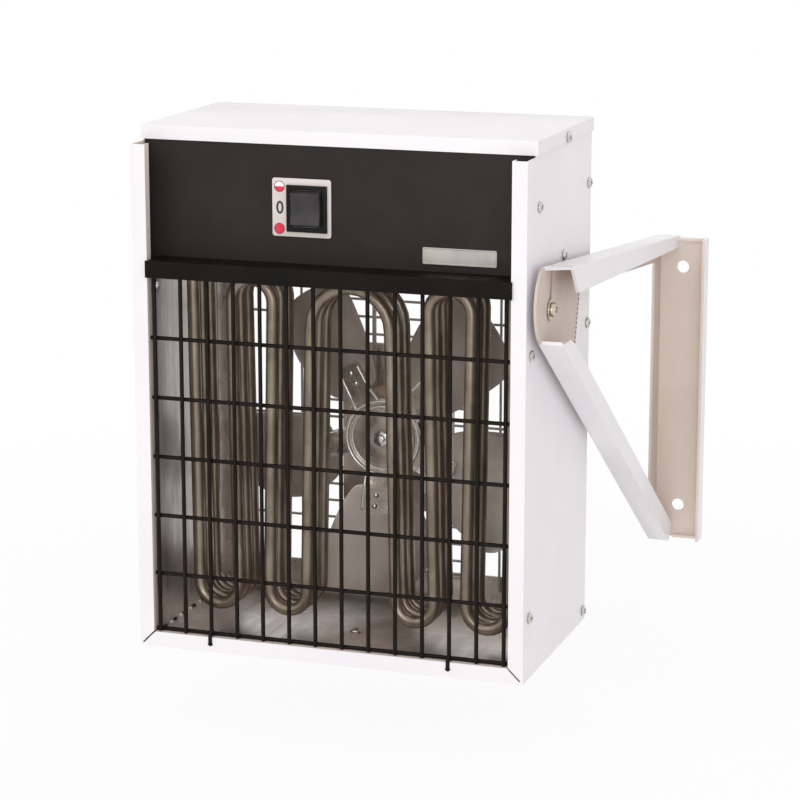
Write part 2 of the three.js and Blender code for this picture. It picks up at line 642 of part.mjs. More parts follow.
/** The open seams where the side flanges meet the bottom lip. */
function casingMitres() {
  const slitStart = CASING_SHEET + MITRE_SLIT;
  const slitEnd = FLANGE_WIDTH + CASING_SHEET;
  const half = MITRE_SLIT / 2;
  return mirrored((side) => {
    const outline = [
      [slitStart - half, slitStart + half], [slitStart + half, slitStart - half],
      [slitEnd + half, slitEnd - half], [slitEnd - half, slitEnd + half],
    ].map(([u, v]) => [side * (SIDE_OUT - u), v]);
    return prism('y', outline, -PROUD, FLANGE_RETURN + PROUD);
  });
}

/** Holes in the bent flanges for the grille's upper wire and for its two legs. */
function casingWireHoles() {
  const radius = WIRE_DIAMETER / 2 + SEAT;
  const upper = [GRILLE_ROW_DEPTH, GRILLE_UPPER];
  const anchors = cylinder('x', radius, -SIDE_IN + SEAT, SIDE_IN - SEAT, upper, SCREW_SIDES);
  const legs = GRILLE_LEG_COLUMNS.map((column) => {
    const place = [columnX(column), GRILLE_COLUMN_DEPTH];
    return cylinder('z', radius, CASING_SHEET + PROUD, LIP_HEIGHT + PROUD, place, SCREW_SIDES);
  });
  return [anchors, ...legs];
}

/** Holes for the screws and the pivot inserts. */
function casingScrewHoles() {
  const [inner, outer] = [SIDE_IN - PROUD, SIDE_OUT + PROUD];
  const screws = sideHoles([...Object.values(SIDE_SCREWS), LID_SCREW], SCREW_HOLE, inner, outer);
  const pivots = sideHoles([PIVOT], INSERT_HOLE, inner, outer, ROUND_SIDES);
  return [...screws, ...pivots, floorScrewHole(-PROUD, CASING_SHEET + PROUD)];
}

function floorScrewHole(from, to) {
  return cylinder('z', SCREW_HOLE, from, to, [FLOOR_SCREW_X, FLOOR_SCREW_DEPTH], SCREW_SIDES);
}

function lid() {
  const front = LID_FRONT + LID_SHEET;
  const back = LID_BACK - LID_SHEET;
  const outside = box([-LID_OUT, LID_FRONT, LID_LOW], [LID_OUT, LID_BACK, LID_TOP]);
  const inside = box([-LID_IN, front, LID_LOW - PROUD], [LID_IN, back, LID_UNDERSIDE]);
  const [inner, outer] = [LID_IN - PROUD, LID_OUT + PROUD];
  const slits = mirrored((side) =>
    [front, back - LID_CORNER_SLIT].map((y) => {
      const top = [y + LID_CORNER_SLIT, LID_UNDERSIDE - SEAT];
      return sideWall(side, inner, outer, [y, LID_LOW - PROUD], top);
    }),
  );
  return cut(outside, inside, slits.flat(), sideHoles([LID_SCREW], SCREW_HOLE, inner, outer));
}

function innerLiner() {
  const section = channel(LINER_OUT, LINER_IN, LINER_FLOOR, LINER_FLOOR_TOP, FLOOR_UNDERSIDE - SEAT);
  const sheet = prism('y', section, LINER_FRONT, REAR_FLANGE_FRONT - SEAT);
  const [inner, outer] = [LINER_IN - PROUD, LINER_OUT + SEAT / 2];
  const screws = sideHoles([SIDE_SCREWS.liner_top, SIDE_SCREWS.liner_bottom], SCREW_HOLE, inner, outer);
  const pivots = sideHoles([PIVOT], INSERT_HOLE, inner, outer, ROUND_SIDES);
  return cut(sheet, screws, pivots, floorScrewHole(LINER_FLOOR - SEAT / 2, LINER_FLOOR_TOP + PROUD));
}

function compartmentFloor() {
  const back = REAR_FRONT - SEAT;
  const half = LINER_OUT - REAR_SHEET - SEAT;
  const outline = [
    [-half, LINER_FRONT], [half, LINER_FRONT],
    [half, FLOOR_EAR_FROM], [LINER_OUT, FLOOR_EAR_FROM],
    [LINER_OUT, FLOOR_EAR_TO], [half, FLOOR_EAR_TO],
    [half, back], [-half, back],
    [-half, FLOOR_EAR_TO], [-LINER_OUT, FLOOR_EAR_TO],
    [-LINER_OUT, FLOOR_EAR_FROM], [-half, FLOOR_EAR_FROM],
  ];
  const sheet = prism('z', outline, FLOOR_UNDERSIDE, FLOOR_TOP);
  const earLow = [FLOOR_EAR_FROM, FLOOR_UNDERSIDE];
  const earHigh = [FLOOR_EAR_TO, FLOOR_TOP + FLOOR_EAR_HEIGHT];
  const earIn = LINER_OUT - FLOOR_SHEET;
  const ears = mirrored((side) => sideWall(side, earIn, LINER_OUT, earLow, earHigh));
  const hole = (radius, place) =>
    cylinder('z', radius + RUN, FLOOR_UNDERSIDE - PROUD, FLOOR_TOP + PROUD, place);
  const tubes = elementDepths().flatMap((y) =>
    mirrored((side) => hole(TUBE_DIAMETER / 2, [side * OUTER_LEG_TOP, y])));
  const lead = hole(LEAD_DIAMETER / 2, [LEAD_X, LEAD_DEPTH]);
  const screws = sideHoles([SIDE_SCREWS.floor], SCREW_HOLE, earIn - PROUD, LINER_OUT + SEAT / 2);
  return cut(join(sheet, ears), tubes, lead, screws);
}

function frontPanel() {
  const inner = LINER_OUT - PANEL_SHEET;
  const section = channel(LINER_OUT, inner, PANEL_FRONT, PANEL_BACK, PANEL_FRONT + PANEL_FLANGE);
  const sheet = prism('z', section, FLOOR_TOP + SEAT, CASING_HEIGHT);
  const screws = sideHoles([SIDE_SCREWS.panel], SCREW_HOLE, inner - PROUD, LINER_OUT + SEAT / 2);
  return cut(sheet, switchOpening(PANEL_FRONT, PANEL_BACK), screws);
}

/** The square hole that the switch's body passes through, between two depths. */
function switchOpening(front, back) {
  const halfWidth = SWITCH_HALF_WIDTH + SEAT;
  const halfHeight = SWITCH_HALF_HEIGHT + SEAT;
  return box([SWITCH_X - halfWidth, front - PROUD, SWITCH_Z - halfHeight],
    [SWITCH_X + halfWidth, back + PROUD, SWITCH_Z + halfHeight]);
}

function grilleTopBar() {
  const half = FLANGE_EDGE + BAR_OVERLAP;
  const face = -SEAT - BAR_SHEET;
  const outline = [
    [face, BAR_TOP - BAR_HEIGHT], [-SEAT, BAR_TOP - BAR_HEIGHT], [-SEAT, BAR_TOP - BAR_SHEET],
    [PANEL_FRONT - SEAT, BAR_TOP - BAR_SHEET], [PANEL_FRONT - SEAT, BAR_TOP], [face, BAR_TOP],
  ];
  const low = [-SEAT, BAR_TOP - BAR_HEIGHT];
  const high = [PANEL_FRONT, BAR_TOP + PROUD];
  const notches = mirrored((side) => sideWall(side, FLANGE_EDGE - SEAT, half + PROUD, low, high));
  return cut(prism('x', outline, -half, half), notches);
}

function rearPanel() {
  const inner = LINER_OUT - REAR_SHEET;
  const section = [
    [-LINER_OUT, REAR_BACK], [-LINER_OUT, REAR_FLANGE_FRONT],
    [-inner, REAR_FLANGE_FRONT], [-inner, REAR_FRONT],
    [inner, REAR_FRONT], [inner, REAR_FLANGE_FRONT],
    [LINER_OUT, REAR_FLANGE_FRONT], [LINER_OUT, REAR_BACK],
  ];
  const sheet = prism('z', section, LINER_FLOOR, CASING_HEIGHT);
  const shelfHalf = LINER_OUT - REAR_SHELF_SHORTER;
  const shelf = box([-shelfHalf, REAR_FLANGE_FRONT, REAR_SHELF_HEIGHT],
    [shelfHalf, REAR_FRONT + REAR_SHEET / 2, REAR_SHELF_HEIGHT + REAR_SHEET]);
  const openHalf = LINER_OUT - REAR_SIDE_BORDER;
  const opening = box([-openHalf, REAR_FRONT - SEAT / 2, REAR_LOWER_BAND],
    [openHalf, REAR_BACK + PROUD, REAR_UPPER_EDGE]);
  const places = [SIDE_SCREWS.rear_top, SIDE_SCREWS.rear_middle, SIDE_SCREWS.rear_bottom];
  const screws = sideHoles(places, SCREW_HOLE, inner - PROUD, LINER_OUT + SEAT / 2);
  const [front, back] = [REAR_FRONT - PROUD, REAR_BACK + PROUD];
  const gland = cylinder('y', GLAND_THREAD_RADIUS + SEAT, front, back, [GLAND_X, GLAND_Z]);
  return cut(join(sheet, shelf), opening, screws, gland);
}

// ---------------------------------------------------------------- grilles

const columnX = (column) => (column - (GRILLE_COLUMNS - 1) / 2) * GRILLE_COLUMN_SPACING;

function frontGrille() {
  const radius = WIRE_DIAMETER / 2;
  const top = BAR_TOP - GRILLE_END_DROP;
  const columns = Array.from({ length: GRILLE_COLUMNS }, (_, column) => {
    const low = GRILLE_LEG_COLUMNS.includes(column) ? GRILLE_LEG_END : GRILLE_LOWEST - radius;
    return cylinder('z', radius, low, top, [columnX(column), GRILLE_COLUMN_DEPTH], WIRE_SIDES);
  });
  const plainHalf = FLANGE_EDGE - SEAT;
  const anchorHalf = FLANGE_EDGE + CASING_SHEET + GRILLE_ANCHOR;
  const row = (z, half = plainHalf) =>
    cylinder('x', radius, -half, half, [GRILLE_ROW_DEPTH, z], WIRE_SIDES);
  const middleRows = Array.from({ length: GRILLE_ROWS - 1 }, (_, i) =>
    row(GRILLE_UPPER - (i + 1) * GRILLE_ROW_SPACING));
  const rows = [
    row(BAR_TOP - GRILLE_TOP_DROP), row(GRILLE_UPPER, anchorHalf), ...middleRows, row(GRILLE_LOWEST),
  ];
  return join(columns, rows);
}

function rearGuard() {
  const radius = GUARD_WIRE / 2;
  const top = FLOOR_UNDERSIDE - SEAT;
  const columns = [GUARD_INNER_COLUMN, GUARD_OUTER_COLUMN].flatMap((x) =>
    mirrored((side) =>
      cylinder('z', radius, GUARD_COLUMN_LOW, top, [side * x, GUARD_COLUMN_Y], WIRE_SIDES)));
  const rows = Array.from({ length: GUARD_ROWS }, (_, row) => {
    const half = GUARD_WIDE_ROWS.includes(row) ? GUARD_WIDE_HALF : GUARD_INNER_COLUMN + GUARD_WIRE;
    const z = GUARD_LOWEST + row * GUARD_SPACING;
    return cylinder('x', radius, -half, half, [GUARD_ROW_Y, z], WIRE_SIDES);
  });
  return join(columns, rows);
}

// ---------------------------------------------------------------- heating elements

/** Where the elements stand: the last one just ahead of the turning blades, the others before it. */
function elementDepths() {
  const last = FAN_DEPTH - bladeReach() - ELEMENT_FAN_GAP - TUBE_DIAMETER / 2;
  return Array.from({ length: ELEMENT_COUNT }, (_, i) => last - (ELEMENT_COUNT - 1 - i) * ELEMENT_SPACING);
}

/** The centreline of one bent element, from its left stem to its right one. */
function elementRoute(top) {
  const outerZ = ELEMENT_LOW + OUTER_BEND_RADIUS;
  const innerZ = ELEMENT_LOW + INNER_BEND_RADIUS;
  const half = [
    [-OUTER_LEG_TOP, top],
    [-OUTER_LEG_TOP, FLOOR_UNDERSIDE],
    ...arc(-OUTER_BEND_X, outerZ, OUTER_BEND_RADIUS, 180, 360, BEND_STEPS),
    ...arc(-SMALL_ARC_X, SMALL_ARC_APEX - SMALL_ARC_RADIUS, SMALL_ARC_RADIUS, 180, 0, BEND_STEPS),
    ...arc(-INNER_BEND_X, innerZ, INNER_BEND_RADIUS, 180, 360, BEND_STEPS),
    ...arc(0, WIDE_ARC_APEX - WIDE_ARC_RADIUS, WIDE_ARC_RADIUS, 180, 90, BEND_STEPS),
  ];
  const other = half.slice(0, -1).map(([x, z]) => [-x, z]).reverse();
  return [...half, ...other];
}

function heatingElement() {
  const top = FLOOR_TOP + ELEMENT_STEM;
  const seat = FLOOR_TOP + SEAT;
  const stations = elementRoute(top).map(([x, z]) => new THREE.Vector3(x, 0, z));
  const tube = rod(stations, TUBE_DIAMETER / 2, TUBE_SIDES);
  const collars = mirrored((side) =>
    cylinder('z', COLLAR_RADIUS, seat, seat + COLLAR_HEIGHT, [side * OUTER_LEG_TOP, 0]));
  const studs = mirrored((side) =>
    cylinder('z', STUD_RADIUS, top - PROUD, top + STUD_LENGTH, [side * OUTER_LEG_TOP, 0], SCREW_SIDES));
  return join(tube, collars, studs);
}

// ---------------------------------------------------------------- fan and motor
// The fan's pieces are drawn round their own axle, which runs along y through the origin.

/** The blade's angle to the fan's plane, flat at the disc and steepest at the tip. */
function twistAt(radius) {
  if (radius < BLADE_ROOT) {
    return BLADE_ROOT_ANGLE * THREE.MathUtils.smoothstep(radius, DISC_RADIUS, BLADE_ROOT);
  }
  const share = (radius - BLADE_ROOT) / (BLADE_TIP - BLADE_ROOT);
  return THREE.MathUtils.lerp(BLADE_ROOT_ANGLE, BLADE_TIP_ANGLE, share);
}

/** A place on the twisted surface: chord is the distance from the blade's middle line. */
function twistedPlace(radius, chord, offset) {
  const twist = THREE.MathUtils.degToRad(twistAt(radius));
  const across = chord * Math.cos(twist) + offset * Math.sin(twist);
  const axial = offset * Math.cos(twist) - chord * Math.sin(twist);
  const angle = across / radius;
  return [radius * Math.sin(angle), axial, radius * Math.cos(angle)];
}

/** From the arm's middle line to one edge of the blade, whose tip has a round corner there. */
function bladeHalfWidth(radius, tipHalf, corner) {
  const share = (radius - BLADE_ROOT) / (BLADE_TIP - BLADE_ROOT);
  const half = THREE.MathUtils.lerp(BLADE_ROOT_HALF, tipHalf, Math.sqrt(share));
  const past = Math.max(radius - (BLADE_TIP - corner), 0);
  return half - corner + Math.sqrt(corner ** 2 - past ** 2);
}

/** A radius on the blade, with half of the stations crowded into the tip's round corners. */
function bladeStation(share) {
  const corner = BLADE_TIP - REAR_CORNER;
  if (share < 0.5) return THREE.MathUtils.lerp(BLADE_ROOT, corner, 2 * share);
  return corner + REAR_CORNER * Math.sin(((2 * share - 1) * Math.PI) / 2);
}

/** A place on the blade: i runs from root to tip, j from the rear edge to the forward one. */
function bladePlace(i, j, offset) {
  const radius = bladeStation(i);
  const rear = bladeHalfWidth(radius, REAR_HALF, REAR_CORNER);
  const forward = bladeHalfWidth(radius, FORWARD_HALF, FORWARD_CORNER);
  return twistedPlace(radius, THREE.MathUtils.lerp(-rear, forward, j), offset);
}

const fanBlade = () => gridSheet(...BLADE_GRID, bladePlace, BLADE_SHEET);

/** How far the blades reach ahead of their middle plane. */
function bladeReach() {
  const [steps] = BLADE_GRID;
  const edge = Array.from({ length: steps + 1 }, (_, i) => bladePlace(i / steps, 1, -BLADE_SHEET / 2));
  return Math.max(...edge.map(([, y]) => -y));
}

/** The pressed disc with its bead, the five arms and the sleeve on the shaft. */
function fanSpider() {
  const half = ARM_SHEET / 2;
  const disc = turned([
    [0, -half], [BEAD_RADIUS - BEAD_HEIGHT, -half], [BEAD_RADIUS, -half - BEAD_HEIGHT],
    [BEAD_RADIUS + BEAD_HEIGHT, -half], [DISC_RADIUS, -half], [DISC_RADIUS, half], [0, half],
  ], LARGE_ROUND_SIDES);
  const surface = (i, j, side) => {
    const radius = THREE.MathUtils.lerp(ARM_ROOT, ARM_TIP, i);
    const [x, y, z] = twistedPlace(radius, (2 * j - 1) * (ARM_WIDTH / 2), side - BLADE_BEHIND_DISC);
    return [x, y + BLADE_BEHIND_DISC, z];
  };
  const arm = gridSheet(...ARM_GRID, surface, ARM_SHEET);
  const arms = Array.from({ length: BLADE_COUNT }, (_, i) => arm.rotate([0, (360 / BLADE_COUNT) * i, 0]));
  const sleeve = cylinder('y', HUB_RADIUS, 0, HUB_LENGTH, [0, 0]);
  const bore = cylinder('y', SHAFT_RADIUS + SEAT, -HUB_LENGTH, HUB_LENGTH + PROUD, [0, 0]);
  return cut(join(disc, arms, sleeve), bore);
}

function fanNut() {
  const nut = cylinder('y', NUT_RADIUS, -NUT_HEIGHT, 0, [0, 0], HEX_SIDES);
  return cut(nut, cylinder('y', SHAFT_RADIUS + SEAT, -NUT_HEIGHT - PROUD, PROUD, [0, 0]));
}

const motorShaft = () =>
  cylinder('y', SHAFT_RADIUS, SHAFT_FRONT, MOTOR_FRONT + MOTOR_BORE_DEPTH - RUN, [0, 0]);

function motor() {
  const body = turned([
    [0, MOTOR_FRONT], [MOTOR_RADIUS - MOTOR_EDGE, MOTOR_FRONT], [MOTOR_RADIUS, MOTOR_FRONT + MOTOR_EDGE],
    [MOTOR_RADIUS, MOTOR_BACK - MOTOR_EDGE], [MOTOR_RADIUS - MOTOR_EDGE, MOTOR_BACK], [0, MOTOR_BACK],
  ], LARGE_ROUND_SIDES);
  const boss = cylinder('y', MOTOR_BOSS_RADIUS, MOTOR_BOSS_FRONT, MOTOR_FRONT + PROUD, [0, 0]);
  const boreEnd = MOTOR_FRONT + MOTOR_BORE_DEPTH;
  const bore = cylinder('y', SHAFT_RADIUS + SEAT, MOTOR_BOSS_FRONT - PROUD, boreEnd, [0, 0]);
  return cut(join(body, boss), bore);
}

function motorPlate() {
  const front = MOTOR_PLATE_BACK - MOTOR_PLATE_SHEET;
  return box([-MOTOR_PLATE_HALF_WIDTH, front, FAN_HEIGHT - MOTOR_PLATE_HALF_HEIGHT],
    [MOTOR_PLATE_HALF_WIDTH, MOTOR_PLATE_BACK, FAN_HEIGHT + MOTOR_PLATE_HALF_HEIGHT]);
}

/** From the top of the motor through the compartment floor to the terminal block. */
function motorLead() {
  const radius = LEAD_DIAMETER / 2;
  const start = FAN_HEIGHT + Math.sqrt(MOTOR_RADIUS ** 2 - (Math.abs(LEAD_X) - radius) ** 2) + SEAT;
  const cornerZ = FLOOR_TOP + RUN;
  const end = BLOCK_X - BLOCK_SIZE[0] / 2 - SEAT;
  const turn = arc(LEAD_X + LEAD_RISE, cornerZ, LEAD_RISE, 180, 90, LEAD_BEND_STEPS);
  const route = [[LEAD_X, start], ...turn, [end, cornerZ + LEAD_RISE]];
  return rod(route.map(([x, z]) => new THREE.Vector3(x, LEAD_DEPTH, z)), radius, TUBE_SIDES);
}

// ---------------------------------------------------------------- switch and front trim

function switchPlate() {
  const size = [PLATE_WIDTH, PLATE_HEIGHT, PLATE_CORNER];
  const outline = roundedRectangle(PLATE_X, PLATE_Z, ...size, CORNER_STEPS);
  const plate = prism('y', outline, SWITCH_PLATE_FRONT, SWITCH_PLATE_BACK);
  return cut(plate, switchOpening(SWITCH_PLATE_FRONT, SWITCH_PLATE_BACK));
}

function switchHousing() {
  const bezel = box([SWITCH_X - BEZEL_WIDTH / 2, BEZEL_FRONT, SWITCH_Z - BEZEL_HEIGHT / 2],
    [SWITCH_X + BEZEL_WIDTH / 2, BEZEL_BACK, SWITCH_Z + BEZEL_HEIGHT / 2]);
  const back = BEZEL_BACK + SWITCH_BODY_DEPTH;
  const body = box([SWITCH_X - SWITCH_HALF_WIDTH, BEZEL_FRONT, SWITCH_Z - SWITCH_HALF_HEIGHT],
    [SWITCH_X + SWITCH_HALF_WIDTH, back, SWITCH_Z + SWITCH_HALF_HEIGHT]);
  const cavity = box([SWITCH_X - CAVITY_HALF_WIDTH, BEZEL_FRONT - PROUD, SWITCH_Z - CAVITY_HALF_HEIGHT],
    [SWITCH_X + CAVITY_HALF_WIDTH, back - SWITCH_BACK_WALL, SWITCH_Z + CAVITY_HALF_HEIGHT]);
  return cut(join(bezel, body), cavity);
}

/** The button's section, drawn round its pivot: a dished face on two round ends. */
function rocker() {
  const faceAngle = THREE.MathUtils.radToDeg(Math.acos(ROCKER_FACE / ROCKER_RADIUS));
  const upper = arc(0, 0, ROCKER_RADIUS, 180 - faceAngle, ROCKER_HEEL_ANGLE, BEND_STEPS);
  const lower = arc(0, 0, ROCKER_RADIUS, -ROCKER_HEEL_ANGLE, faceAngle - 180, BEND_STEPS);
  const outline = [...upper, ...lower, [ROCKER_DISH - ROCKER_FACE, 0]];
  return prism('x', outline, -ROCKER_WIDTH / 2, ROCKER_WIDTH / 2);
}

function badgePlate() {
  const size = [BADGE_WIDTH, BADGE_HEIGHT, BADGE_CORNER];
  const outline = roundedRectangle(BADGE_X, BADGE_Z, ...size, SMALL_CORNER_STEPS);
  return prism('y', outline, PANEL_FRONT - SEAT - BADGE_SHEET, PANEL_FRONT - SEAT);
}

// ---------------------------------------------------------------- switch compartment

function terminalBlock() {
  const [width, depth, height] = BLOCK_SIZE;
  const low = FLOOR_TOP + SEAT;
  const high = low + height;
  const left = BLOCK_X - width / 2;
  const front = BLOCK_DEPTH - depth / 2;
  const body = box([left, front, low], [left + width, front + depth, high]);
  const slots = Array.from({ length: BLOCK_SLOTS }, (_, i) => {
    const from = left + ((i + 0.5) * width) / BLOCK_SLOTS - BLOCK_SLOT_WIDTH / 2;
    return box([from, front - PROUD, high - BLOCK_SLOT_DEPTH],
      [from + BLOCK_SLOT_WIDTH, BLOCK_DEPTH, high + PROUD]);
  });
  return cut(body, slots);
}

function thermalCutout() {
  const low = FLOOR_TOP + SEAT;
  const top = low + CUTOUT_HEIGHT;
  const place = [CUTOUT_X, elementDepths().at(-1) + CUTOUT_BEHIND];
  const can = cylinder('z', CUTOUT_RADIUS, low, top, place);
  const cap = cylinder('z', CUTOUT_CAP_RADIUS, low, top + CUTOUT_CAP_HEIGHT, place);
  return join(can, cap);
}

function cableGland() {
  const place = [GLAND_X, GLAND_Z];
  const outside = REAR_BACK + SEAT;
  const inside = REAR_FRONT - SEAT;
  const innerEnd = inside - GLAND_NUT;
  const outerEnd = outside + GLAND_NOSE;
  const collar = cylinder('y', GLAND_HEX_RADIUS, outside, outside + GLAND_NUT, place, HEX_SIDES);
  const nose = cylinder('y', GLAND_THREAD_RADIUS, innerEnd, outerEnd, place);
  const nut = cylinder('y', GLAND_HEX_RADIUS, innerEnd, inside, place, HEX_SIDES);
  const bore = cylinder('y', GLAND_BORE_RADIUS, innerEnd - PROUD, outerEnd + PROUD, place);
  return cut(join(collar, nose, nut), bore);
}

// ---------------------------------------------------------------- fasteners
// A screw is drawn along +y: its head's underside lies at 0 and its head points to +y.

/** A plain shank under a domed head. */
function domedScrew(radius, length, headRadius, headHeight, sides) {
  return turned([
    [0, -length], [radius, -length], [radius, 0], [headRadius, 0],
    [headRadius, headHeight * HEAD_EDGE_SHARE],
    [headRadius * HEAD_CROWN_RADIUS_SHARE, headHeight * HEAD_CROWN_SHARE],
    [0, headHeight],
  ], sides);
}

const screw = (length) =>
  domedScrew(SCREW_RADIUS, length, SCREW_HEAD_RADIUS, SCREW_HEAD_HEIGHT, SCREW_SIDES);

const pivotBolt = () =>
  domedScrew(BOLT_RADIUS, WASHER_OUT + SEAT - BOLT_END, BOLT_HEAD_RADIUS, BOLT_HEAD_HEIGHT, ROUND_SIDES);

/** A ring along +y from 0, round the pivot bolt. */
function ring(radius, length) {
  const bore = BOLT_RADIUS + SEAT;
  return turned([[bore, 0], [radius, 0], [radius, length], [bore, length], [bore, 0]]);
}

/** A flanged nut for one side: its barrel fills the holes in the liner and the casing. */
function pivotInsert() {
  const bore = BOLT_RADIUS + SEAT;
  const flangeTop = LINER_IN - SEAT;
  const start = flangeTop - INSERT_FLANGE;
  return turned([
    [bore, start], [INSERT_FLANGE_RADIUS, start], [INSERT_FLANGE_RADIUS, flangeTop],
    [INSERT_RADIUS, flangeTop], [INSERT_RADIUS, SIDE_OUT], [bore, SIDE_OUT], [bore, start],
  ]);
}

// ---------------------------------------------------------------- bracket

const NOSE = arc(NOSE_Y, NOSE_Z, NOSE_RADIUS, NOSE_UPPER_ANGLE, NOSE_LOWER_ANGLE, NOSE_STEPS);
const UPPER_END = [WALL_PLANE, UPPER_ARM_END];
const LOWER_START = NOSE.at(-1);
const LOWER_END = [WALL_PLANE - LOWER_ARM_FOOT, WALL_LOW];
const UPPER_LINE = [NOSE[0], UPPER_END];
const LOWER_LINE = [LOWER_START, LOWER_END];

/** The height of a sloped line at a depth, moved square to the line by an offset. */
function lineHeight([from, to], depth, offset = 0) {
  const slope = (to[1] - from[1]) / (to[0] - from[0]);
  return from[1] + slope * (depth - from[0]) + offset * Math.hypot(1, slope);
}

/** The open middle of the bracket, with a row of small teeth at the top of its front edge. */
function bracketWindow() {
  const rear = WALL_FRONT - FRAME_STRIP;
  const [topY, lowY] = [PIVOT_Y + WINDOW_TOP_REACH, PIVOT_Y + WINDOW_LOW_REACH];
  const top = [topY, lineHeight(UPPER_LINE, topY, -FRAME_STRIP)];
  const low = [lowY, lineHeight(LOWER_LINE, lowY, FRAME_STRIP)];
  const teeth = Array.from({ length: 2 * TEETH }, (_, i) => {
    const share = (TEETH_SHARE * (i + 1)) / (2 * TEETH);
    const depth = THREE.MathUtils.lerp(top[0], low[0], share) - (i % 2 ? 0 : TOOTH_DEPTH);
    return [depth, THREE.MathUtils.lerp(top[1], low[1], share)];
  });
  return [
    top, ...teeth, low,
    [rear, lineHeight(LOWER_LINE, rear, FRAME_STRIP)],
    [rear, lineHeight(UPPER_LINE, rear, -FRAME_STRIP)],
  ];
}

/** The flat plate beside the casing: round nose, two arms and the strip along the wall. */
function bracketPlate() {
  const outline = [...NOSE, LOWER_END, [WALL_PLANE, WALL_LOW], UPPER_END];
  const plate = prism('x', outline, BRACKET_IN, BRACKET_OUT);
  const [inner, outer] = [BRACKET_IN - PROUD, BRACKET_OUT + PROUD];
  const slot = [
    [PIVOT_Y - SLOT_HALF, PIVOT_Z], [PIVOT_Y + SLOT_HALF, PIVOT_Z],
    [SLOT_TOP_Y + SLOT_HALF, NOSE_TOP], [SLOT_TOP_Y - SLOT_HALF, NOSE_TOP],
  ];
  const seat = cylinder('x', SLOT_HALF, inner, outer, PIVOT);
  return cut(plate, prism('x', bracketWindow(), inner, outer), prism('x', slot, inner, outer), seat);
}

function upperArm() {
  const web = prism('x', [
    [UPPER_WEB_START, lineHeight(UPPER_LINE, UPPER_WEB_START)], UPPER_END,
    [WALL_PLANE, UPPER_ARM_END - BRACKET_SHEET],
    [UPPER_WEB_START, lineHeight(UPPER_LINE, UPPER_WEB_START, -BRACKET_SHEET)],
  ], BRACKET_IN, WEB_OUT);
  const rakeEnd = UPPER_FLANGE_START + UPPER_FLANGE_RAKE;
  const flange = prism('x', [
    [UPPER_FLANGE_START, lineHeight(UPPER_LINE, UPPER_FLANGE_START)], UPPER_END,
    [WALL_PLANE, UPPER_ARM_END - UPPER_FLANGE_REAR],
    [rakeEnd, lineHeight(UPPER_LINE, rakeEnd, -UPPER_FLANGE_FRONT)],
  ], WEB_OUT - BRACKET_SHEET, WEB_OUT);
  return cut(join(web, flange), upperArmCuts());
}

/** The upper web's sloped front corner, its relief slot and the mouth of the pivot's slot. */
function upperArmCuts() {
  const top = NOSE_TOP + PROUD;
  const ahead = UPPER_WEB_START - PROUD;
  const corner = prism('z', [
    [BRACKET_OUT, ahead], [WEB_OUT + PROUD, ahead], [WEB_OUT + PROUD, UPPER_FLANGE_START],
    [WEB_OUT, UPPER_FLANGE_START], [BRACKET_OUT, UPPER_WEB_START],
  ], NOSE_Z, top);
  const reliefFrom = PIVOT_Y + RELIEF_BEHIND;
  const relief = box([BRACKET_OUT, reliefFrom, NOSE_Z],
    [WEB_OUT - BRACKET_SHEET, reliefFrom + RELIEF_WIDTH, top]);
  const mouth = box([BRACKET_IN - PROUD, SLOT_TOP_Y - SLOT_HALF, NOSE_Z],
    [BRACKET_OUT, SLOT_TOP_Y + SLOT_HALF, NOSE_TOP]);
  return [corner, relief, mouth];
}

function lowerArm() {
  const [startY, startZ] = LOWER_START;
  const [endY, endZ] = LOWER_END;
  const web = prism('x', [
    LOWER_START, LOWER_END, [endY, lineHeight(LOWER_LINE, endY, BRACKET_SHEET)],
    [startY, lineHeight(LOWER_LINE, startY, BRACKET_SHEET)],
  ], BRACKET_IN, WEB_OUT);
  const slope = (endZ - startZ) / (endY - startY);
  const level = startY - (LOWER_FLANGE_HEIGHT * Math.hypot(1, slope)) / slope;
  const frontY = level + LOWER_FLANGE_CORNER;
  const rearY = endY + LOWER_FLANGE_CORNER;
  const flange = prism('x', [
    LOWER_START, LOWER_END,
    [rearY, lineHeight(LOWER_LINE, rearY, LOWER_FLANGE_HEIGHT)],
    [frontY, lineHeight(LOWER_LINE, frontY, LOWER_FLANGE_HEIGHT)],
    [level - LOWER_FLANGE_CORNER / 2, startZ],
  ], WEB_OUT - BRACKET_SHEET, WEB_OUT);
  return join(web, flange);
}

function wallPlate() {
  const topCorner = [WALL_OUT, WALL_PLANE, WALL_HIGH];
  const web = box([BRACKET_IN, WALL_FRONT, WALL_LOW], topCorner);
  const flange = box([WALL_OUT - BRACKET_SHEET, WALL_PLANE - WALL_FLANGE, WALL_LOW], topCorner);
  const lips = [WALL_LOW, WALL_HIGH - BRACKET_SHEET].map((z) =>
    box([WEB_OUT, WALL_PLANE - WALL_LIP, z], [WALL_OUT, WALL_PLANE, z + BRACKET_SHEET]));
  const [front, back] = [WALL_FRONT - PROUD, WALL_PLANE + PROUD];
  const holes = [WALL_HOLE_LOW, WALL_HOLE_HIGH].map((z) =>
    cylinder('y', WALL_HOLE_RADIUS, front, back, [WALL_HOLE_X, z], WALL_HOLE_SIDES));
  return cut(join(web, flange, lips), holes);
}

const wallBracket = () => join(bracketPlate(), upperArm(), lowerArm(), wallPlate());

// ---------------------------------------------------------------- assembly

function add(parent, name, solid, material, place = [0, 0, 0], rotation = [0, 0, 0]) {
  const mesh = new THREE.Mesh(toGeometry(solid), material);
  mesh.name = name;
  mesh.position.set(...place);
  mesh.rotation.set(...rotation);
  parent.add(mesh);
}

const POINT_RIGHT = [0, 0, -Math.PI / 2];
const POINT_LEFT = [0, 0, Math.PI / 2];
const POINT_UP = [Math.PI / 2, 0, 0];

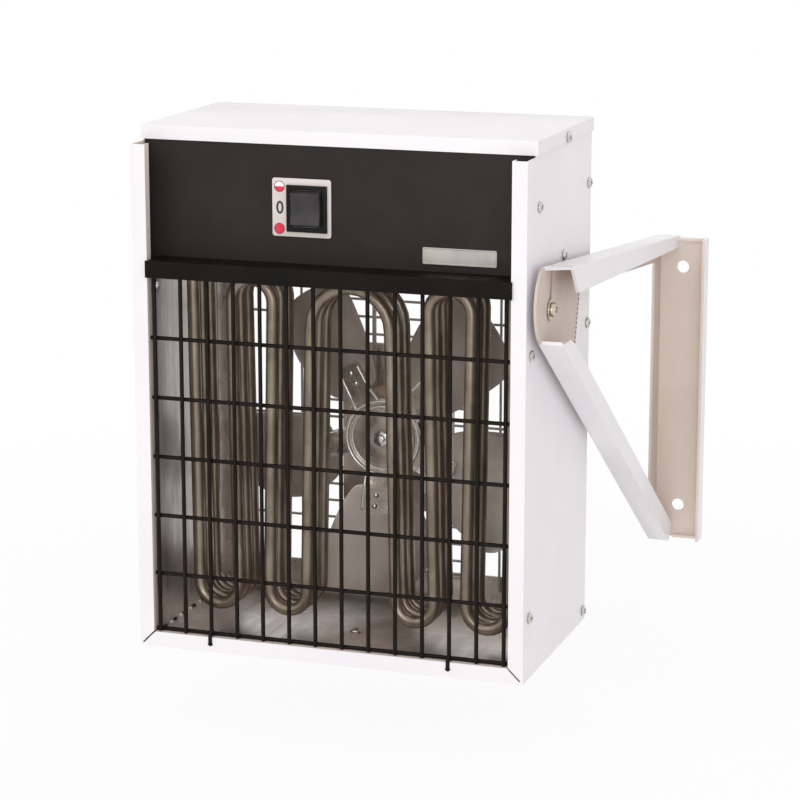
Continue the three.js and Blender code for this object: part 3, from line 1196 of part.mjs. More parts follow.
function addScrews(heater) {
  const sideScrew = screw(SCREW_LENGTH);
  for (const [side, label, turn] of [[1, 'right', POINT_RIGHT], [-1, 'left', POINT_LEFT]]) {
    const place = (surface, point) => [side * (surface + SEAT), ...point];
    for (const [name, point] of Object.entries(SIDE_SCREWS)) {
      add(heater, `screw_${label}_${name}`, sideScrew, BRIGHT_METAL, place(SIDE_OUT, point), turn);
    }
    add(heater, `screw_${label}_lid`, sideScrew, BRIGHT_METAL, place(LID_OUT, LID_SCREW), turn);
  }
  const underHead = LINER_FLOOR_TOP + SEAT;
  add(heater, 'screw_liner_floor', screw(underHead - SEAT / 2), BRIGHT_METAL,
    [FLOOR_SCREW_X, FLOOR_SCREW_DEPTH, underHead], POINT_UP);
}

function addSwivel(heater) {
  const addAt = (x, name, solid, material, turn = POINT_RIGHT) =>
    add(heater, name, solid, material, [x, ...PIVOT], turn);
  addAt(0, 'pivot_insert_right', pivotInsert(), BRIGHT_METAL);
  addAt(0, 'pivot_insert_left', pivotInsert(), BRIGHT_METAL, POINT_LEFT);
  addAt(SIDE_OUT + SEAT, 'pivot_spacer', ring(SPACER_RADIUS, BRACKET_GAP - 2 * SEAT), DARK_PLASTIC);
  addAt(BRACKET_OUT + SEAT, 'pivot_washer', ring(WASHER_RADIUS, WASHER_SHEET), BRIGHT_METAL);
  addAt(WASHER_OUT + SEAT, 'pivot_bolt', pivotBolt(), BRIGHT_METAL);
}

function heaterGroup() {
  const heater = new THREE.Group();
  add(heater, 'casing_wrap', casingWrap(), WHITE_PAINT);
  add(heater, 'lid', lid(), WHITE_PAINT);
  add(heater, 'inner_liner', innerLiner(), GALVANISED);
  add(heater, 'compartment_floor', compartmentFloor(), GALVANISED);
  add(heater, 'front_panel', frontPanel(), BLACK_PAINT);
  add(heater, 'grille_top_bar', grilleTopBar(), BLACK_PAINT);
  add(heater, 'front_grille', frontGrille(), WIRE_PAINT);
  add(heater, 'rear_panel', rearPanel(), BEIGE_COAT);
  add(heater, 'rear_guard', rearGuard(), GALVANISED);
  const element = heatingElement();
  elementDepths().forEach((y, i) => {
    add(heater, `heating_element_${i + 1}`, element, ELEMENT_METAL, [0, y, 0]);
  });
  add(heater, 'motor', motor(), MOTOR_METAL, [0, 0, FAN_HEIGHT]);
  add(heater, 'motor_plate', motorPlate(), GALVANISED);
  add(heater, 'motor_lead', motorLead(), PALE_PLASTIC);
  add(heater, 'switch_plate', switchPlate(), PALE_PLASTIC);
  add(heater, 'switch_housing', switchHousing(), DARK_PLASTIC);
  add(heater, 'badge_plate', badgePlate(), BADGE_METAL);
  add(heater, 'terminal_block', terminalBlock(), PALE_PLASTIC);
  add(heater, 'thermal_cutout', thermalCutout(), DARK_PLASTIC);
  add(heater, 'cable_gland', cableGland(), DARK_PLASTIC);
  add(heater, 'rocker', rocker(), DARK_PLASTIC, [SWITCH_X, ROCKER_Y, SWITCH_Z]);
  addScrews(heater);
  addSwivel(heater);
  return heater;
}

function fanGroup() {
  const fan = new THREE.Group();
  fan.position.set(0, 0, FAN_HEIGHT);
  const blade = fanBlade();
  const lowest = Math.PI + THREE.MathUtils.degToRad(FAN_TURN);
  for (let i = 0; i < BLADE_COUNT; i += 1) {
    const angle = lowest + (i * 2 * Math.PI) / BLADE_COUNT;
    add(fan, `fan_blade_${i + 1}`, blade, FAN_METAL, [0, FAN_DEPTH, 0], [0, angle, 0]);
  }
  add(fan, 'fan_spider', fanSpider(), BRIGHT_METAL, [0, DISC_Y, 0], [0, lowest, 0]);
  add(fan, 'motor_shaft', motorShaft(), BRIGHT_METAL);
  add(fan, 'fan_nut', fanNut(), BRIGHT_METAL, [0, DISC_Y - ARM_SHEET / 2 - SEAT, 0]);
  return fan;
}

const group = new THREE.Group();
group.add(heaterGroup(), fanGroup());
add(group, 'wall_bracket', wallBracket(), WHITE_PAINT);
group.position.set(-WALL_HOLE_X, -WALL_PLANE, -(WALL_HOLE_HIGH + WALL_HOLE_LOW) / 2);

export default group;
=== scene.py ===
"""Looks of a sheet-metal fan heater on a swivel bracket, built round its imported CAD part.

The sizes in the classes are millimetres in the casing's own frame: x is 0 in the middle of the
casing and grows to its right, y is 0 on the front flanges and grows backwards, and z is 0 under
the floor. A finished mesh is moved into the frame's metres. A fan piece is drawn round its axle.
"""
import sys
import logging
import math
from collections.abc import Callable, Sequence
from dataclasses import dataclass, replace
from enum import Enum

import bmesh
import bpy
from mathutils import Matrix, Vector


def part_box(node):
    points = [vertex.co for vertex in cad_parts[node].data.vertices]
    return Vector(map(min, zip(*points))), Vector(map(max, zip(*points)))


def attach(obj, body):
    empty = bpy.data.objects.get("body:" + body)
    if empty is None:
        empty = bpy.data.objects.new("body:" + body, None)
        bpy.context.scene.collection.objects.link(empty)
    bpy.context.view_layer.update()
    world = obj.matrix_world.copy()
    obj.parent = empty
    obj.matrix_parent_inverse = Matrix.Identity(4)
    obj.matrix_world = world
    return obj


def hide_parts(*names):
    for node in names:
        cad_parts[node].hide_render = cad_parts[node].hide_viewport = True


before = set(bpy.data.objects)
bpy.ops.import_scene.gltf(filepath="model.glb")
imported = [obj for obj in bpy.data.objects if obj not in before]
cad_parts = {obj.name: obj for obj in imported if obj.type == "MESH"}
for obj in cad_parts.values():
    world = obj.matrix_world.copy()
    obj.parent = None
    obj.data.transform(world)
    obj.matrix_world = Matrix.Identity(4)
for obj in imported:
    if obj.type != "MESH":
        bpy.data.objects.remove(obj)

LOG = logging.getLogger("heater")
METRE = 0.001  # one millimetre in metres
CASING_ORIGIN = Vector((-161.0, -348.0, -131.2))
INTO_FRAME = Matrix.Scale(METRE, 4) @ Matrix.Translation(CASING_ORIGIN)
X, Y, Z = Vector((1, 0, 0)), Vector((0, 1, 0)), Vector((0, 0, 1))
Point = Sequence[float]
Colour = tuple[float, float, float]
Profile = tuple[tuple[float, float], ...]
EDGE_TURN = (0.86, 0.995)  # how far a rounded normal leaves the flat one, on an edge and beside it
CROSS_TOP = 0.965  # share of a screw head's height that the shade in its cross comes up to
STEEP = 0.7  # share of a normal along an axis from which a face counts as looking that way
SAME_POINT = 0.002  # CAD points that are nearer than this are one
RIM_SHARE = 1.8  # a face at least this many sheets wide isn't the sheet's own rim
FOLD_TURN = 40.0  # degrees from which an edge is a fold
FLAT_TURN = 0.6  # degrees between two CAD faces that are one
SEAM = 1e-4  # a spun solid's first and last points are this near


# ---------------------------------------------------------------- finishes

def linear(red: int, green: int, blue: int) -> Colour:
    """Turns a colour as a screen shows it into the linear values that a shader reads."""
    return tuple((c / 255 / 12.92) if c <= 10 else ((c / 255 + 0.055) / 1.055) ** 2.4
                 for c in (red, green, blue))


class Grain(Enum):
    """How the small relief of a surface runs, as stretches of its pattern along x, y and z."""

    EVEN = (1.0, 1.0, 1.0)
    ALONG_X = (0.04, 1.0, 1.0)
    ALONG_Y = (1.0, 0.04, 1.0)
    ALONG_Z = (1.0, 1.0, 0.05)


class ShaderTree:
    """The nodes of one material, with short ways to add the usual ones."""

    def __init__(self, material: bpy.types.Material) -> None:
        """Clears a material's nodes and adds the shader and its output.

        Args:
            material: the material.
        """
        material.use_nodes = True
        self.tree = material.node_tree
        self.tree.nodes.clear()
        output = self.add("ShaderNodeOutputMaterial")
        self.shader = self.add("ShaderNodeBsdfPrincipled")
        self.join(self.shader.outputs["BSDF"], output.inputs["Surface"])

    def add(self, kind: str, **settings: object) -> bpy.types.Node:
        """Adds a node.

        Args:
            kind: its type's name.
            **settings: properties to set on it.

        Returns:
            The node.
        """
        node = self.tree.nodes.new(kind)
        for key, value in settings.items():
            setattr(node, key, value)
        return node

    def join(self, output: bpy.types.NodeSocket, target: bpy.types.NodeSocket) -> None:
        """Links one socket to another."""
        self.tree.links.new(output, target)

    def place(self, stretch: Point) -> bpy.types.NodeSocket:
        """The object's own coordinates, stretched along the grain.

        Args:
            stretch: factor along each axis; a small one draws the pattern out.

        Returns:
            The socket with the coordinates.
        """
        coordinates = self.add("ShaderNodeTexCoord")
        mapping = self.add("ShaderNodeMapping")
        mapping.inputs["Scale"].default_value = stretch
        self.join(coordinates.outputs["Object"], mapping.inputs["Vector"])
        return mapping.outputs["Vector"]

    def noise(self, place: bpy.types.NodeSocket, size: float, detail: float = 3.0,
              distortion: float = 0.0) -> bpy.types.NodeSocket:
        """A cloudy pattern.

        Args:
            place: coordinates to read.
            size: breadth of its patches, in millimetres.
            detail: how many finer layers it has.
            distortion: how much it swirls.

        Returns:
            The pattern's value, about 0.5 on average.
        """
        node = self.add("ShaderNodeTexNoise")
        node.inputs["Scale"].default_value = 1.0 / (size * METRE)
        node.inputs["Detail"].default_value = detail
        node.inputs["Distortion"].default_value = distortion
        self.join(place, node.inputs["Vector"])
        return node.outputs["Fac"]

    def cells(self, place: bpy.types.NodeSocket, size: float, smooth: bool) -> bpy.types.NodeSocket:
        """A pattern of cells: distance from each one's middle, or a value of its own for each.

        Args:
            place: coordinates to read.
            size: breadth of a cell, in millimetres.
            smooth: distances if true, flat values if false.

        Returns:
            The pattern's value.
        """
        node = self.add("ShaderNodeTexVoronoi")
        node.inputs["Scale"].default_value = 1.0 / (size * METRE)
        self.join(place, node.inputs["Vector"])
        if smooth:
            return node.outputs["Distance"]
        split = self.add("ShaderNodeSeparateColor")
        self.join(node.outputs["Color"], split.inputs["Color"])
        return split.outputs["Red"]

    def spread(self, value: bpy.types.NodeSocket, low: float, high: float,
               start: float = 0.3, end: float = 0.7) -> bpy.types.NodeSocket:
        """Maps a pattern's values to a range, softly at both ends.

        Args:
            value: the pattern.
            low: what its lower values become.
            high: what its higher values become.
            start: the value at and below which it is low.
            end: the value at and above which it is high.

        Returns:
            The mapped value's socket.
        """
        node = self.add("ShaderNodeMapRange", interpolation_type="SMOOTHSTEP")
        for key, number in (("From Min", start), ("From Max", end), ("To Min", low), ("To Max", high)):
            node.inputs[key].default_value = number
        self.join(value, node.inputs["Value"])
        return node.outputs["Result"]

    def blend(self, share: bpy.types.NodeSocket, first: object, second: object) -> bpy.types.NodeSocket:
        """Mixes two colours.

        Args:
            share: how much of the second one.
            first: a colour or a socket.
            second: a colour or a socket.

        Returns:
            The mixed colour's socket.
        """
        node = self.add("ShaderNodeMix", data_type="RGBA")
        self.join(share, node.inputs[0])
        for socket, value in ((node.inputs[6], first), (node.inputs[7], second)):
            if isinstance(value, tuple):
                socket.default_value = (*value, 1.0)
            else:
                self.join(value, socket)
        return node.outputs[2]

    def sum(self, operation: str, first: bpy.types.NodeSocket, second: object) -> bpy.types.NodeSocket:
        """One step of arithmetic, clamped between 0 and 1.

        Args:
            operation: the step's name.
            first: a socket.
            second: a socket or a number.

        Returns:
            The result's socket.
        """
        node = self.add("ShaderNodeMath", operation=operation, use_clamp=True)
        self.join(first, node.inputs[0])
        if isinstance(second, (int, float)):
            node.inputs[1].default_value = second
        else:
            self.join(second, node.inputs[1])
        return node.outputs[0]

    def edges(self, width: float) -> bpy.types.NodeSocket:
        """Where the surface turns over an edge: 1 on the edge, 0 on the flat.

        Args:
            width: how far from the edge it is felt, in millimetres.

        Returns:
            The mask's socket.
        """
        rounded = self.add("ShaderNodeBevel", samples=4)
        rounded.inputs["Radius"].default_value = width * METRE
        flat = self.add("ShaderNodeNewGeometry")
        dot = self.add("ShaderNodeVectorMath", operation="DOT_PRODUCT")
        self.join(rounded.outputs["Normal"], dot.inputs[0])
        self.join(flat.outputs["Normal"], dot.inputs[1])
        return self.spread(dot.outputs["Value"], 1.0, 0.0, *EDGE_TURN)

    def relief(self, height: bpy.types.NodeSocket, depth: float,
               below: bpy.types.NodeSocket | None = None) -> bpy.types.NodeSocket:
        """A bump from a height pattern.

        Args:
            height: the pattern.
            depth: of the relief, in millimetres.
            below: a bump that this one lies on.

        Returns:
            The normal's socket.
        """
        node = self.add("ShaderNodeBump")
        node.inputs["Strength"].default_value = 1.0
        node.inputs["Distance"].default_value = depth * METRE
        self.join(height, node.inputs["Height"])
        if below is not None:
            self.join(below, node.inputs["Normal"])
        return node.outputs["Normal"]


@dataclass(frozen=True)
class Finish:
    """A surface finish: a colour that drifts, a roughness that varies and a fine relief."""

    name: str
    slot: str
    colour: Colour
    drift: Colour
    drift_size: float = 60.0
    roughness: tuple[float, float] = (0.35, 0.5)
    metallic: float = 0.0
    grain: Grain = Grain.EVEN
    grain_size: float = 1.2
    relief: float = 0.01
    speck: float = 0.04
    wear: Colour | None = None
    wear_width: float = 0.5
    wear_share: float = 0.5
    wear_patch: float = 4.0
    coat: float = 0.0
    coat_roughness: float = 0.12
    specular: float = 0.5
    speck_depth: float = 4.0
    speck_cover: float = 0.25
    smudges: float = 5.0
    unevenness: float = 6.0

    def material(self) -> bpy.types.Material:
        """The finish's material, made once and then shared."""
        found = bpy.data.materials.get(self.name)
        return found or self._build(bpy.data.materials.new(self.name))

    def _build(self, material: bpy.types.Material) -> bpy.types.Material:
        """Fills a new material with the finish's nodes.

        Args:
            material: the new material.

        Returns:
            The same material.
        """
        tree = ShaderTree(material)
        flat, drawn = tree.place(Grain.EVEN.value), tree.place(self.grain.value)
        grain = self._grain(tree, drawn)
        clouds = tree.noise(flat, self.drift_size, detail=4.0)
        colour = tree.blend(tree.spread(clouds, 0.0, 1.0), self.colour, self.drift)
        darker = tuple(c * (1 - self.speck_depth * self.speck) for c in self.colour)
        colour = tree.blend(tree.spread(grain, 0.0, self.speck_cover), colour, darker)
        colour = self._pattern(tree, flat, colour)
        if self.wear:
            patches = tree.noise(flat, self.wear_patch, detail=5.0)
            patches = tree.spread(patches, 0.0, self.wear_share, start=0.35, end=0.65)
            worn = tree.sum("MULTIPLY", tree.edges(self.wear_width), patches)
            colour = tree.blend(worn, colour, self.wear)
        shader = tree.shader.inputs
        tree.join(colour, shader["Base Color"])
        smudges = tree.noise(drawn, self.drift_size / self.smudges, detail=5.0, distortion=0.4)
        tree.join(tree.spread(smudges, *self.roughness), shader["Roughness"])
        tree.join(self._relief(tree, flat, grain), shader["Normal"])
        shader["Metallic"].default_value = self.metallic
        shader["Specular IOR Level"].default_value = self.specular
        shader["Coat Weight"].default_value = self.coat
        shader["Coat Roughness"].default_value = self.coat_roughness
        return material

    def _grain(self, tree: ShaderTree, place: bpy.types.NodeSocket) -> bpy.types.NodeSocket:
        """The fine pattern that the relief and the specks share."""
        return tree.noise(place, self.grain_size, detail=4.0)

    def _pattern(self, tree: ShaderTree, place: bpy.types.NodeSocket,
                 colour: bpy.types.NodeSocket) -> bpy.types.NodeSocket:
        """A pattern of the finish's own over the colour; plain finishes have none."""
        return colour

    def _relief(self, tree: ShaderTree, place: bpy.types.NodeSocket,
                grain: bpy.types.NodeSocket) -> bpy.types.NodeSocket:
        """The bump of the grain over a slow unevenness of the sheet."""
        slow = tree.relief(tree.noise(place, self.drift_size, detail=2.0), self.relief * self.unevenness)
        return tree.relief(grain, self.relief, slow)


@dataclass(frozen=True)
class Embossed(Finish):
    """A vinyl-like coat with a fine leathery grain."""

    def _grain(self, tree: ShaderTree, place: bpy.types.NodeSocket) -> bpy.types.NodeSocket:
        """Small cells with soft valleys between them, broken up by noise."""
        cells = tree.cells(place, self.grain_size, smooth=True)
        return tree.sum("MULTIPLY", cells, tree.noise(place, self.grain_size * 3))


@dataclass(frozen=True)
class Spangled(Finish):
    """Zinc-coated sheet with its crystals, and long soft streaks from rolling."""

    streak: Colour = (0.9, 0.88, 0.86)
    streak_size: float = 9.0
    streak_cover: float = 0.35
    crystal: float = 7.0
    crystal_shade: float = 0.72
    crystal_cover: float = 0.35

    def _pattern(self, tree: ShaderTree, place: bpy.types.NodeSocket,
                 colour: bpy.types.NodeSocket) -> bpy.types.NodeSocket:
        """Lays crystals that differ a little, and pale streaks, over the colour.

        Args:
            tree: the material's nodes.
            place: coordinates to read.
            colour: the colour below.

        Returns:
            The new colour's socket.
        """
        crystals = tree.cells(place, self.crystal, smooth=False)
        crystals = tree.spread(crystals, 0.0, self.crystal_cover, start=0.0, end=1.0)
        darker = tuple(c * self.crystal_shade for c in self.colour)
        colour = tree.blend(crystals, colour, darker)
        streaks = tree.noise(tree.place(Grain.ALONG_Z.value), self.streak_size, distortion=0.6)
        streaks = tree.spread(streaks, 0.0, self.streak_cover, start=0.5, end=0.75)
        return tree.blend(streaks, colour, self.streak)


@dataclass(frozen=True)
class Scorched(Finish):
    """A heating tube's skin: bronze, darkened in soft bands where it has glowed."""

    soot: Colour = (0.02, 0.015, 0.01)
    soot_cover: float = 0.32
    band: float = 16.0
    band_stretch: tuple[float, float, float] = (1.0, 1.0, 0.35)

    def _pattern(self, tree: ShaderTree, place: bpy.types.NodeSocket,
                 colour: bpy.types.NodeSocket) -> bpy.types.NodeSocket:
        """Lays bands of soot over the colour.

        Args:
            tree: the material's nodes.
            place: coordinates to read, which the bands draw out for themselves.
            colour: the colour below.

        Returns:
            The new colour's socket.
        """
        bands = tree.noise(tree.place(self.band_stretch), self.band, detail=5.0, distortion=1.2)
        bands = tree.spread(bands, 0.0, self.soot_cover, start=0.42, end=0.68)
        return tree.blend(bands, colour, self.soot)


WHITE = Finish("white_enamel", "white_paint", linear(240, 237, 239), linear(236, 232, 234), 90.0,
               (0.34, 0.46), grain_size=0.9, relief=0.004, speck=0.005,
               wear=linear(205, 198, 196), wear_share=0.35, coat=0.25)
BEIGE = Finish("beige_backing", "beige_coat", linear(234, 221, 210), linear(226, 212, 200), 70.0,
               (0.45, 0.6), grain_size=0.8, relief=0.006, speck=0.01,
               wear=linear(228, 220, 214), wear_share=0.5)
# Painted shade: a darker copy of the beige for the pivot plate's outward face and the rim of its nose.
SHADED_BEIGE = replace(BEIGE, name="beige_painted_shade", colour=linear(208, 192, 181),
                      drift=linear(201, 184, 173), wear=linear(224, 214, 206))
BLACK = Embossed("grained_black", "black_paint", linear(44, 37, 35), linear(37, 31, 29), 80.0,
                 (0.5, 0.64), grain_size=0.9, relief=0.05, speck=0.06,
                 wear=linear(84, 76, 74), wear_share=0.6, specular=0.22)
BAR_BLACK = Finish("satin_black", "black_wire", linear(15, 11, 8), linear(21, 16, 13), 40.0,
                   (0.5, 0.66), grain_size=0.7, relief=0.015, speck=0.08,
                   wear=linear(78, 68, 60), wear_share=0.4, wear_width=0.35, specular=0.12)
WIRE_BLACK = Finish("wire_black", "black_wire", linear(30, 22, 16), linear(20, 14, 10), 25.0,
                    (0.45, 0.62), grain_size=0.6, relief=0.02, speck=0.08, specular=0.14)
ZINC = Spangled("zinc_sheet", "galvanised", linear(182, 173, 167), linear(162, 153, 147), 45.0,
                (0.26, 0.44), metallic=0.85, grain=Grain.ALONG_Z, grain_size=0.8, relief=0.012,
                speck=0.03, wear=linear(236, 232, 228))
# A paler zinc; on the liner's floor it also stands as painted light.
ZINC_FLOOR = replace(ZINC, name="zinc_floor", colour=linear(214, 204, 197),
                     drift=linear(196, 186, 179), grain=Grain.ALONG_Y)
GUARD_METAL = Finish("guard_zinc", "guard_wire", linear(196, 190, 185), linear(174, 168, 163), 20.0,
                     (0.34, 0.5), metallic=0.3, grain_size=0.6, relief=0.015, speck=0.05)
BRONZE = Scorched("tube_bronze", "element_metal", linear(160, 147, 132), linear(138, 123, 107), 22.0,
                  (0.28, 0.42), metallic=0.8, grain=Grain.ALONG_Z, grain_size=0.5, relief=0.012,
                  speck=0.06)
BLADE_METAL = Finish("blade_steel", "fan_metal", linear(208, 196, 187), linear(186, 173, 164), 30.0,
                     (0.34, 0.48), metallic=0.35, grain=Grain.ALONG_X, grain_size=0.5, relief=0.01,
                     speck=0.05, wear=linear(225, 218, 210), wear_share=0.9)
SPIDER_METAL = Finish("spider_steel", "bright_metal", linear(196, 184, 174), linear(166, 152, 140),
                      14.0, (0.24, 0.42), metallic=0.6, grain_size=0.9, relief=0.04, speck=0.08,
                      wear=linear(248, 245, 240), wear_share=1.0, wear_width=0.9)
SCREW_METAL = Finish("screw_zinc", "bright_metal", linear(214, 211, 208), linear(188, 184, 180), 3.0,
                     (0.16, 0.3), metallic=1.0, grain_size=0.3, relief=0.01, speck=0.03,
                     wear=linear(245, 243, 240), wear_width=0.3)
MOTOR_METAL = Finish("motor_steel", "motor_metal", linear(204, 184, 160), linear(180, 158, 134), 25.0,
                     (0.38, 0.56), metallic=0.2, grain_size=0.8, relief=0.02, speck=0.05,
                     wear=linear(226, 216, 204))
# Painted highlight: a near-white metal for the spider's rings and ribs and the liner's light dots.
PAINTED_HIGHLIGHT = Finish("painted_highlight", "bright_metal", linear(252, 248, 243), linear(238, 232, 225), 5.0,
                   (0.1, 0.2), metallic=0.5, grain_size=0.6, relief=0.012, speck=0.03,
                   wear=linear(255, 253, 250), wear_width=0.3)
SWIVEL_METAL = Finish("yellow_zinc", "bright_metal", linear(214, 200, 183), linear(190, 175, 158), 3.0,
                      (0.2, 0.36), metallic=0.9, grain_size=0.3, relief=0.01, speck=0.04,
                      wear=linear(240, 230, 216), wear_width=0.3)
# Painted shade: a dark finish for the shade in slots, perforations, vents and cross recesses, and at the
# bracket's teeth.
PAINTED_SHADE = Finish("painted_shade", "black_wire", linear(40, 36, 34), linear(28, 25, 24), 5.0,
                (0.5, 0.7), grain_size=0.5, relief=0.01, speck=0.05)
PALE_PLATE = Finish("pale_plate", "pale_plastic", linear(216, 207, 202), linear(206, 197, 191), 20.0,
                    (0.36, 0.5), grain_size=0.4, relief=0.004, speck=0.01,
                    wear=linear(240, 237, 236))
DARK_PLASTIC = Finish("dark_moulding", "dark_plastic", linear(18, 16, 16), linear(13, 12, 12), 12.0,
                      (0.42, 0.56), grain_size=0.35, relief=0.012, speck=0.04,
                      wear=linear(66, 62, 62), wear_width=0.35, wear_share=0.4, specular=0.2)
KEY_PLASTIC = Finish("key_moulding", "dark_plastic", linear(60, 57, 57), linear(45, 42, 42), 12.0,
                     (0.34, 0.46), grain_size=0.3, relief=0.014, speck=0.03,
                     wear=linear(112, 108, 108), wear_width=0.5, wear_share=0.7, specular=0.3)
TERMINAL_PLASTIC = Finish("terminal_moulding", "pale_plastic", linear(216, 208, 196),
                          linear(206, 197, 184), 15.0, (0.4, 0.55), grain_size=0.4, relief=0.01,
                          speck=0.02, wear=linear(234, 228, 220))
BADGE = Finish("badge_brushed", "badge_metal", linear(196, 190, 184), linear(178, 172, 166), 18.0,
               (0.3, 0.44), metallic=0.85, grain=Grain.ALONG_X, grain_size=0.25, relief=0.008,
               speck=0.05, wear=linear(235, 232, 228), wear_width=0.4)
LEAD_SKIN = Finish("lead_sheath", "pale_plastic", linear(214, 206, 200), linear(196, 188, 182), 12.0,
                   (0.42, 0.58), grain_size=0.5, relief=0.01, speck=0.02)
RED_INK = Finish("red_ink", "pale_plastic", linear(222, 46, 72), linear(212, 38, 62), 4.0,
                 (0.36, 0.48), grain_size=0.3, relief=0.004, speck=0.02)
RING_INK = replace(RED_INK, name="ring_ink", colour=linear(122, 58, 62), drift=linear(108, 50, 54),
                   roughness=(0.38, 0.5))
BLACK_INK = replace(RED_INK, name="black_ink", colour=linear(46, 42, 42), drift=linear(38, 35, 35),
                    roughness=(0.4, 0.52))
WHITE_INK = replace(RED_INK, name="white_ink", colour=linear(244, 240, 240),
                    drift=linear(238, 233, 233), relief=0.003, speck=0.01)


# ---------------------------------------------------------------- shaping

class Solid:
    """One closed body being shaped in its own bmesh, in millimetres."""

    def __init__(self) -> None:
        """Starts with nothing."""
        self.mesh = bmesh.new()

    @classmethod
    def block(cls, low: Point, high: Point) -> "Solid":
        """A block between two corners.

        Args:
            low: the corner with the least of each coordinate.
            high: the opposite one.

        Returns:
            The block.
        """
        solid, low, high = cls(), Vector(low), Vector(high)
        place = Matrix.Translation((low + high) / 2) @ Matrix.Diagonal((*(high - low), 1.0))
        bmesh.ops.create_cube(solid.mesh, size=1.0, matrix=place)
        return solid

    @classmethod
    def rod(cls, start: Point, end: Point, radius: float, sides: int = 16) -> "Solid":
        """A round bar between two points; with few sides, a hexagon or the like.

        Args:
            start: the middle of one end.
            end: the middle of the other.
            radius: of the bar, at its corners.
            sides: how many it has.

        Returns:
            The bar.
        """
        solid, start, end = cls(), Vector(start), Vector(end)
        turn = (end - start).to_track_quat("Z", "Y").to_matrix().to_4x4()
        bmesh.ops.create_cone(solid.mesh, cap_ends=True, segments=sides, radius1=radius, radius2=radius,
                              depth=(end - start).length,
                              matrix=Matrix.Translation((start + end) / 2) @ turn)
        return solid

    @classmethod
    def ball(cls, centre: Point, radii: Point, sides: int = 10) -> "Solid":
        """A ball with its own radius along each axis.

        Args:
            centre: its middle.
            radii: one for each axis.
            sides: steps round it; it has half as many from pole to pole.

        Returns:
            The ball.
        """
        solid = cls()
        place = Matrix.Translation(Vector(centre)) @ Matrix.Diagonal((*radii, 1.0))
        bmesh.ops.create_uvsphere(solid.mesh, u_segments=sides, v_segments=sides // 2 + 1, radius=1.0,
                                  matrix=place)
        return solid

    @classmethod
    def turned(cls, profile: Sequence[tuple[float, float]], sides: int = 32) -> "Solid":
        """A profile of (radius, height) points spun round z.

        Args:
            profile: the points, from one end on the axis to the other.
            sides: how many steps the full turn has.

        Returns:
            The closed solid.
        """
        solid = cls()
        verts = [solid.mesh.verts.new((radius, 0.0, height)) for radius, height in profile]
        edges = [solid.mesh.edges.new(pair) for pair in zip(verts, verts[1:])]
        bmesh.ops.spin(solid.mesh, geom=verts + edges, cent=(0, 0, 0), axis=Z, dvec=(0, 0, 0),
                       angle=math.tau, steps=sides, use_merge=True, use_duplicate=False)
        bmesh.ops.remove_doubles(solid.mesh, verts=solid.mesh.verts, dist=SEAM)
        return solid.outward()

    @classmethod
    def ring(cls, centre: Point, axis: Vector, across: Vector, reach: float, radius: float) -> "Solid":
        """A round ring.

        Args:
            centre: its middle.
            axis: the direction that it goes round.
            across: a direction in its plane.
            reach: from its middle to the middle of its section.
            radius: of its section.

        Returns:
            The closed ring.
        """
        solid = cls()
        at = Vector(centre) + across * reach
        turn = axis.cross(across).to_track_quat("Z", "Y").to_matrix().to_4x4()
        verts = bmesh.ops.create_circle(solid.mesh, cap_ends=False, segments=12, radius=radius,
                                        matrix=Matrix.Translation(at) @ turn)["verts"]
        edges = list({edge for vert in verts for edge in vert.link_edges})
        bmesh.ops.spin(solid.mesh, geom=verts + edges, cent=Vector(centre), axis=axis, dvec=(0, 0, 0),
                       angle=math.tau, steps=72, use_merge=True, use_duplicate=False)
        bmesh.ops.remove_doubles(solid.mesh, verts=solid.mesh.verts, dist=SEAM)
        return solid.outward()

    @classmethod
    def slab(cls, outline: Sequence[Point], thickness: Vector) -> "Solid":
        """A flat outline, made thick.

        Args:
            outline: its points, in order.
            thickness: how far, and which way, the other side lies.

        Returns:
            The closed slab.
        """
        solid = cls()
        face = solid.mesh.faces.new([solid.mesh.verts.new(point) for point in outline])
        made = bmesh.ops.extrude_face_region(solid.mesh, geom=[face])
        verts = [part for part in made["geom"] if isinstance(part, bmesh.types.BMVert)]
        bmesh.ops.translate(solid.mesh, verts=verts, vec=thickness)
        return solid.outward()

    @classmethod
    def sheet(cls, steps: tuple[int, int], place: Callable[[float, float], Point],
              thickness: float) -> "Solid":
        """A shaped sheet: a grid whose points are placed by a function, given its thickness.

        Args:
            steps: divisions along and across.
            place: where the point at two shares from 0 to 1 goes.
            thickness: the sheet's, put on both sides of the surface.

        Returns:
            The closed solid.
        """
        solid = cls()
        bmesh.ops.create_grid(solid.mesh, x_segments=steps[0], y_segments=steps[1], size=0.5)
        for vert in solid.mesh.verts:
            vert.co = place(vert.co.x + 0.5, vert.co.y + 0.5)
        bmesh.ops.recalc_face_normals(solid.mesh, faces=solid.mesh.faces)
        solid.mesh.normal_update()
        for vert in solid.mesh.verts:
            vert.co += vert.normal * (thickness / 2)
        bmesh.ops.solidify(solid.mesh, geom=solid.mesh.faces, thickness=thickness)
        return solid.outward()

    @classmethod
    def of_node(cls, node: str) -> "Solid":
        """A merged copy of a CAD node, in the casing's millimetres.

        Args:
            node: its name.

        Returns:
            The copy.
        """
        solid = cls()
        solid.mesh.from_mesh(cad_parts[node].data)
        solid.moved(INTO_FRAME.inverted())
        bmesh.ops.remove_doubles(solid.mesh, verts=solid.mesh.verts, dist=SAME_POINT)
        bmesh.ops.dissolve_limit(solid.mesh, angle_limit=math.radians(FLAT_TURN), verts=solid.mesh.verts,
                                 edges=solid.mesh.edges)
        return solid

    def moved(self, matrix: Matrix) -> "Solid":
        """Moves the whole solid and hands it back."""
        bmesh.ops.transform(self.mesh, matrix=matrix, verts=self.mesh.verts)
        return self

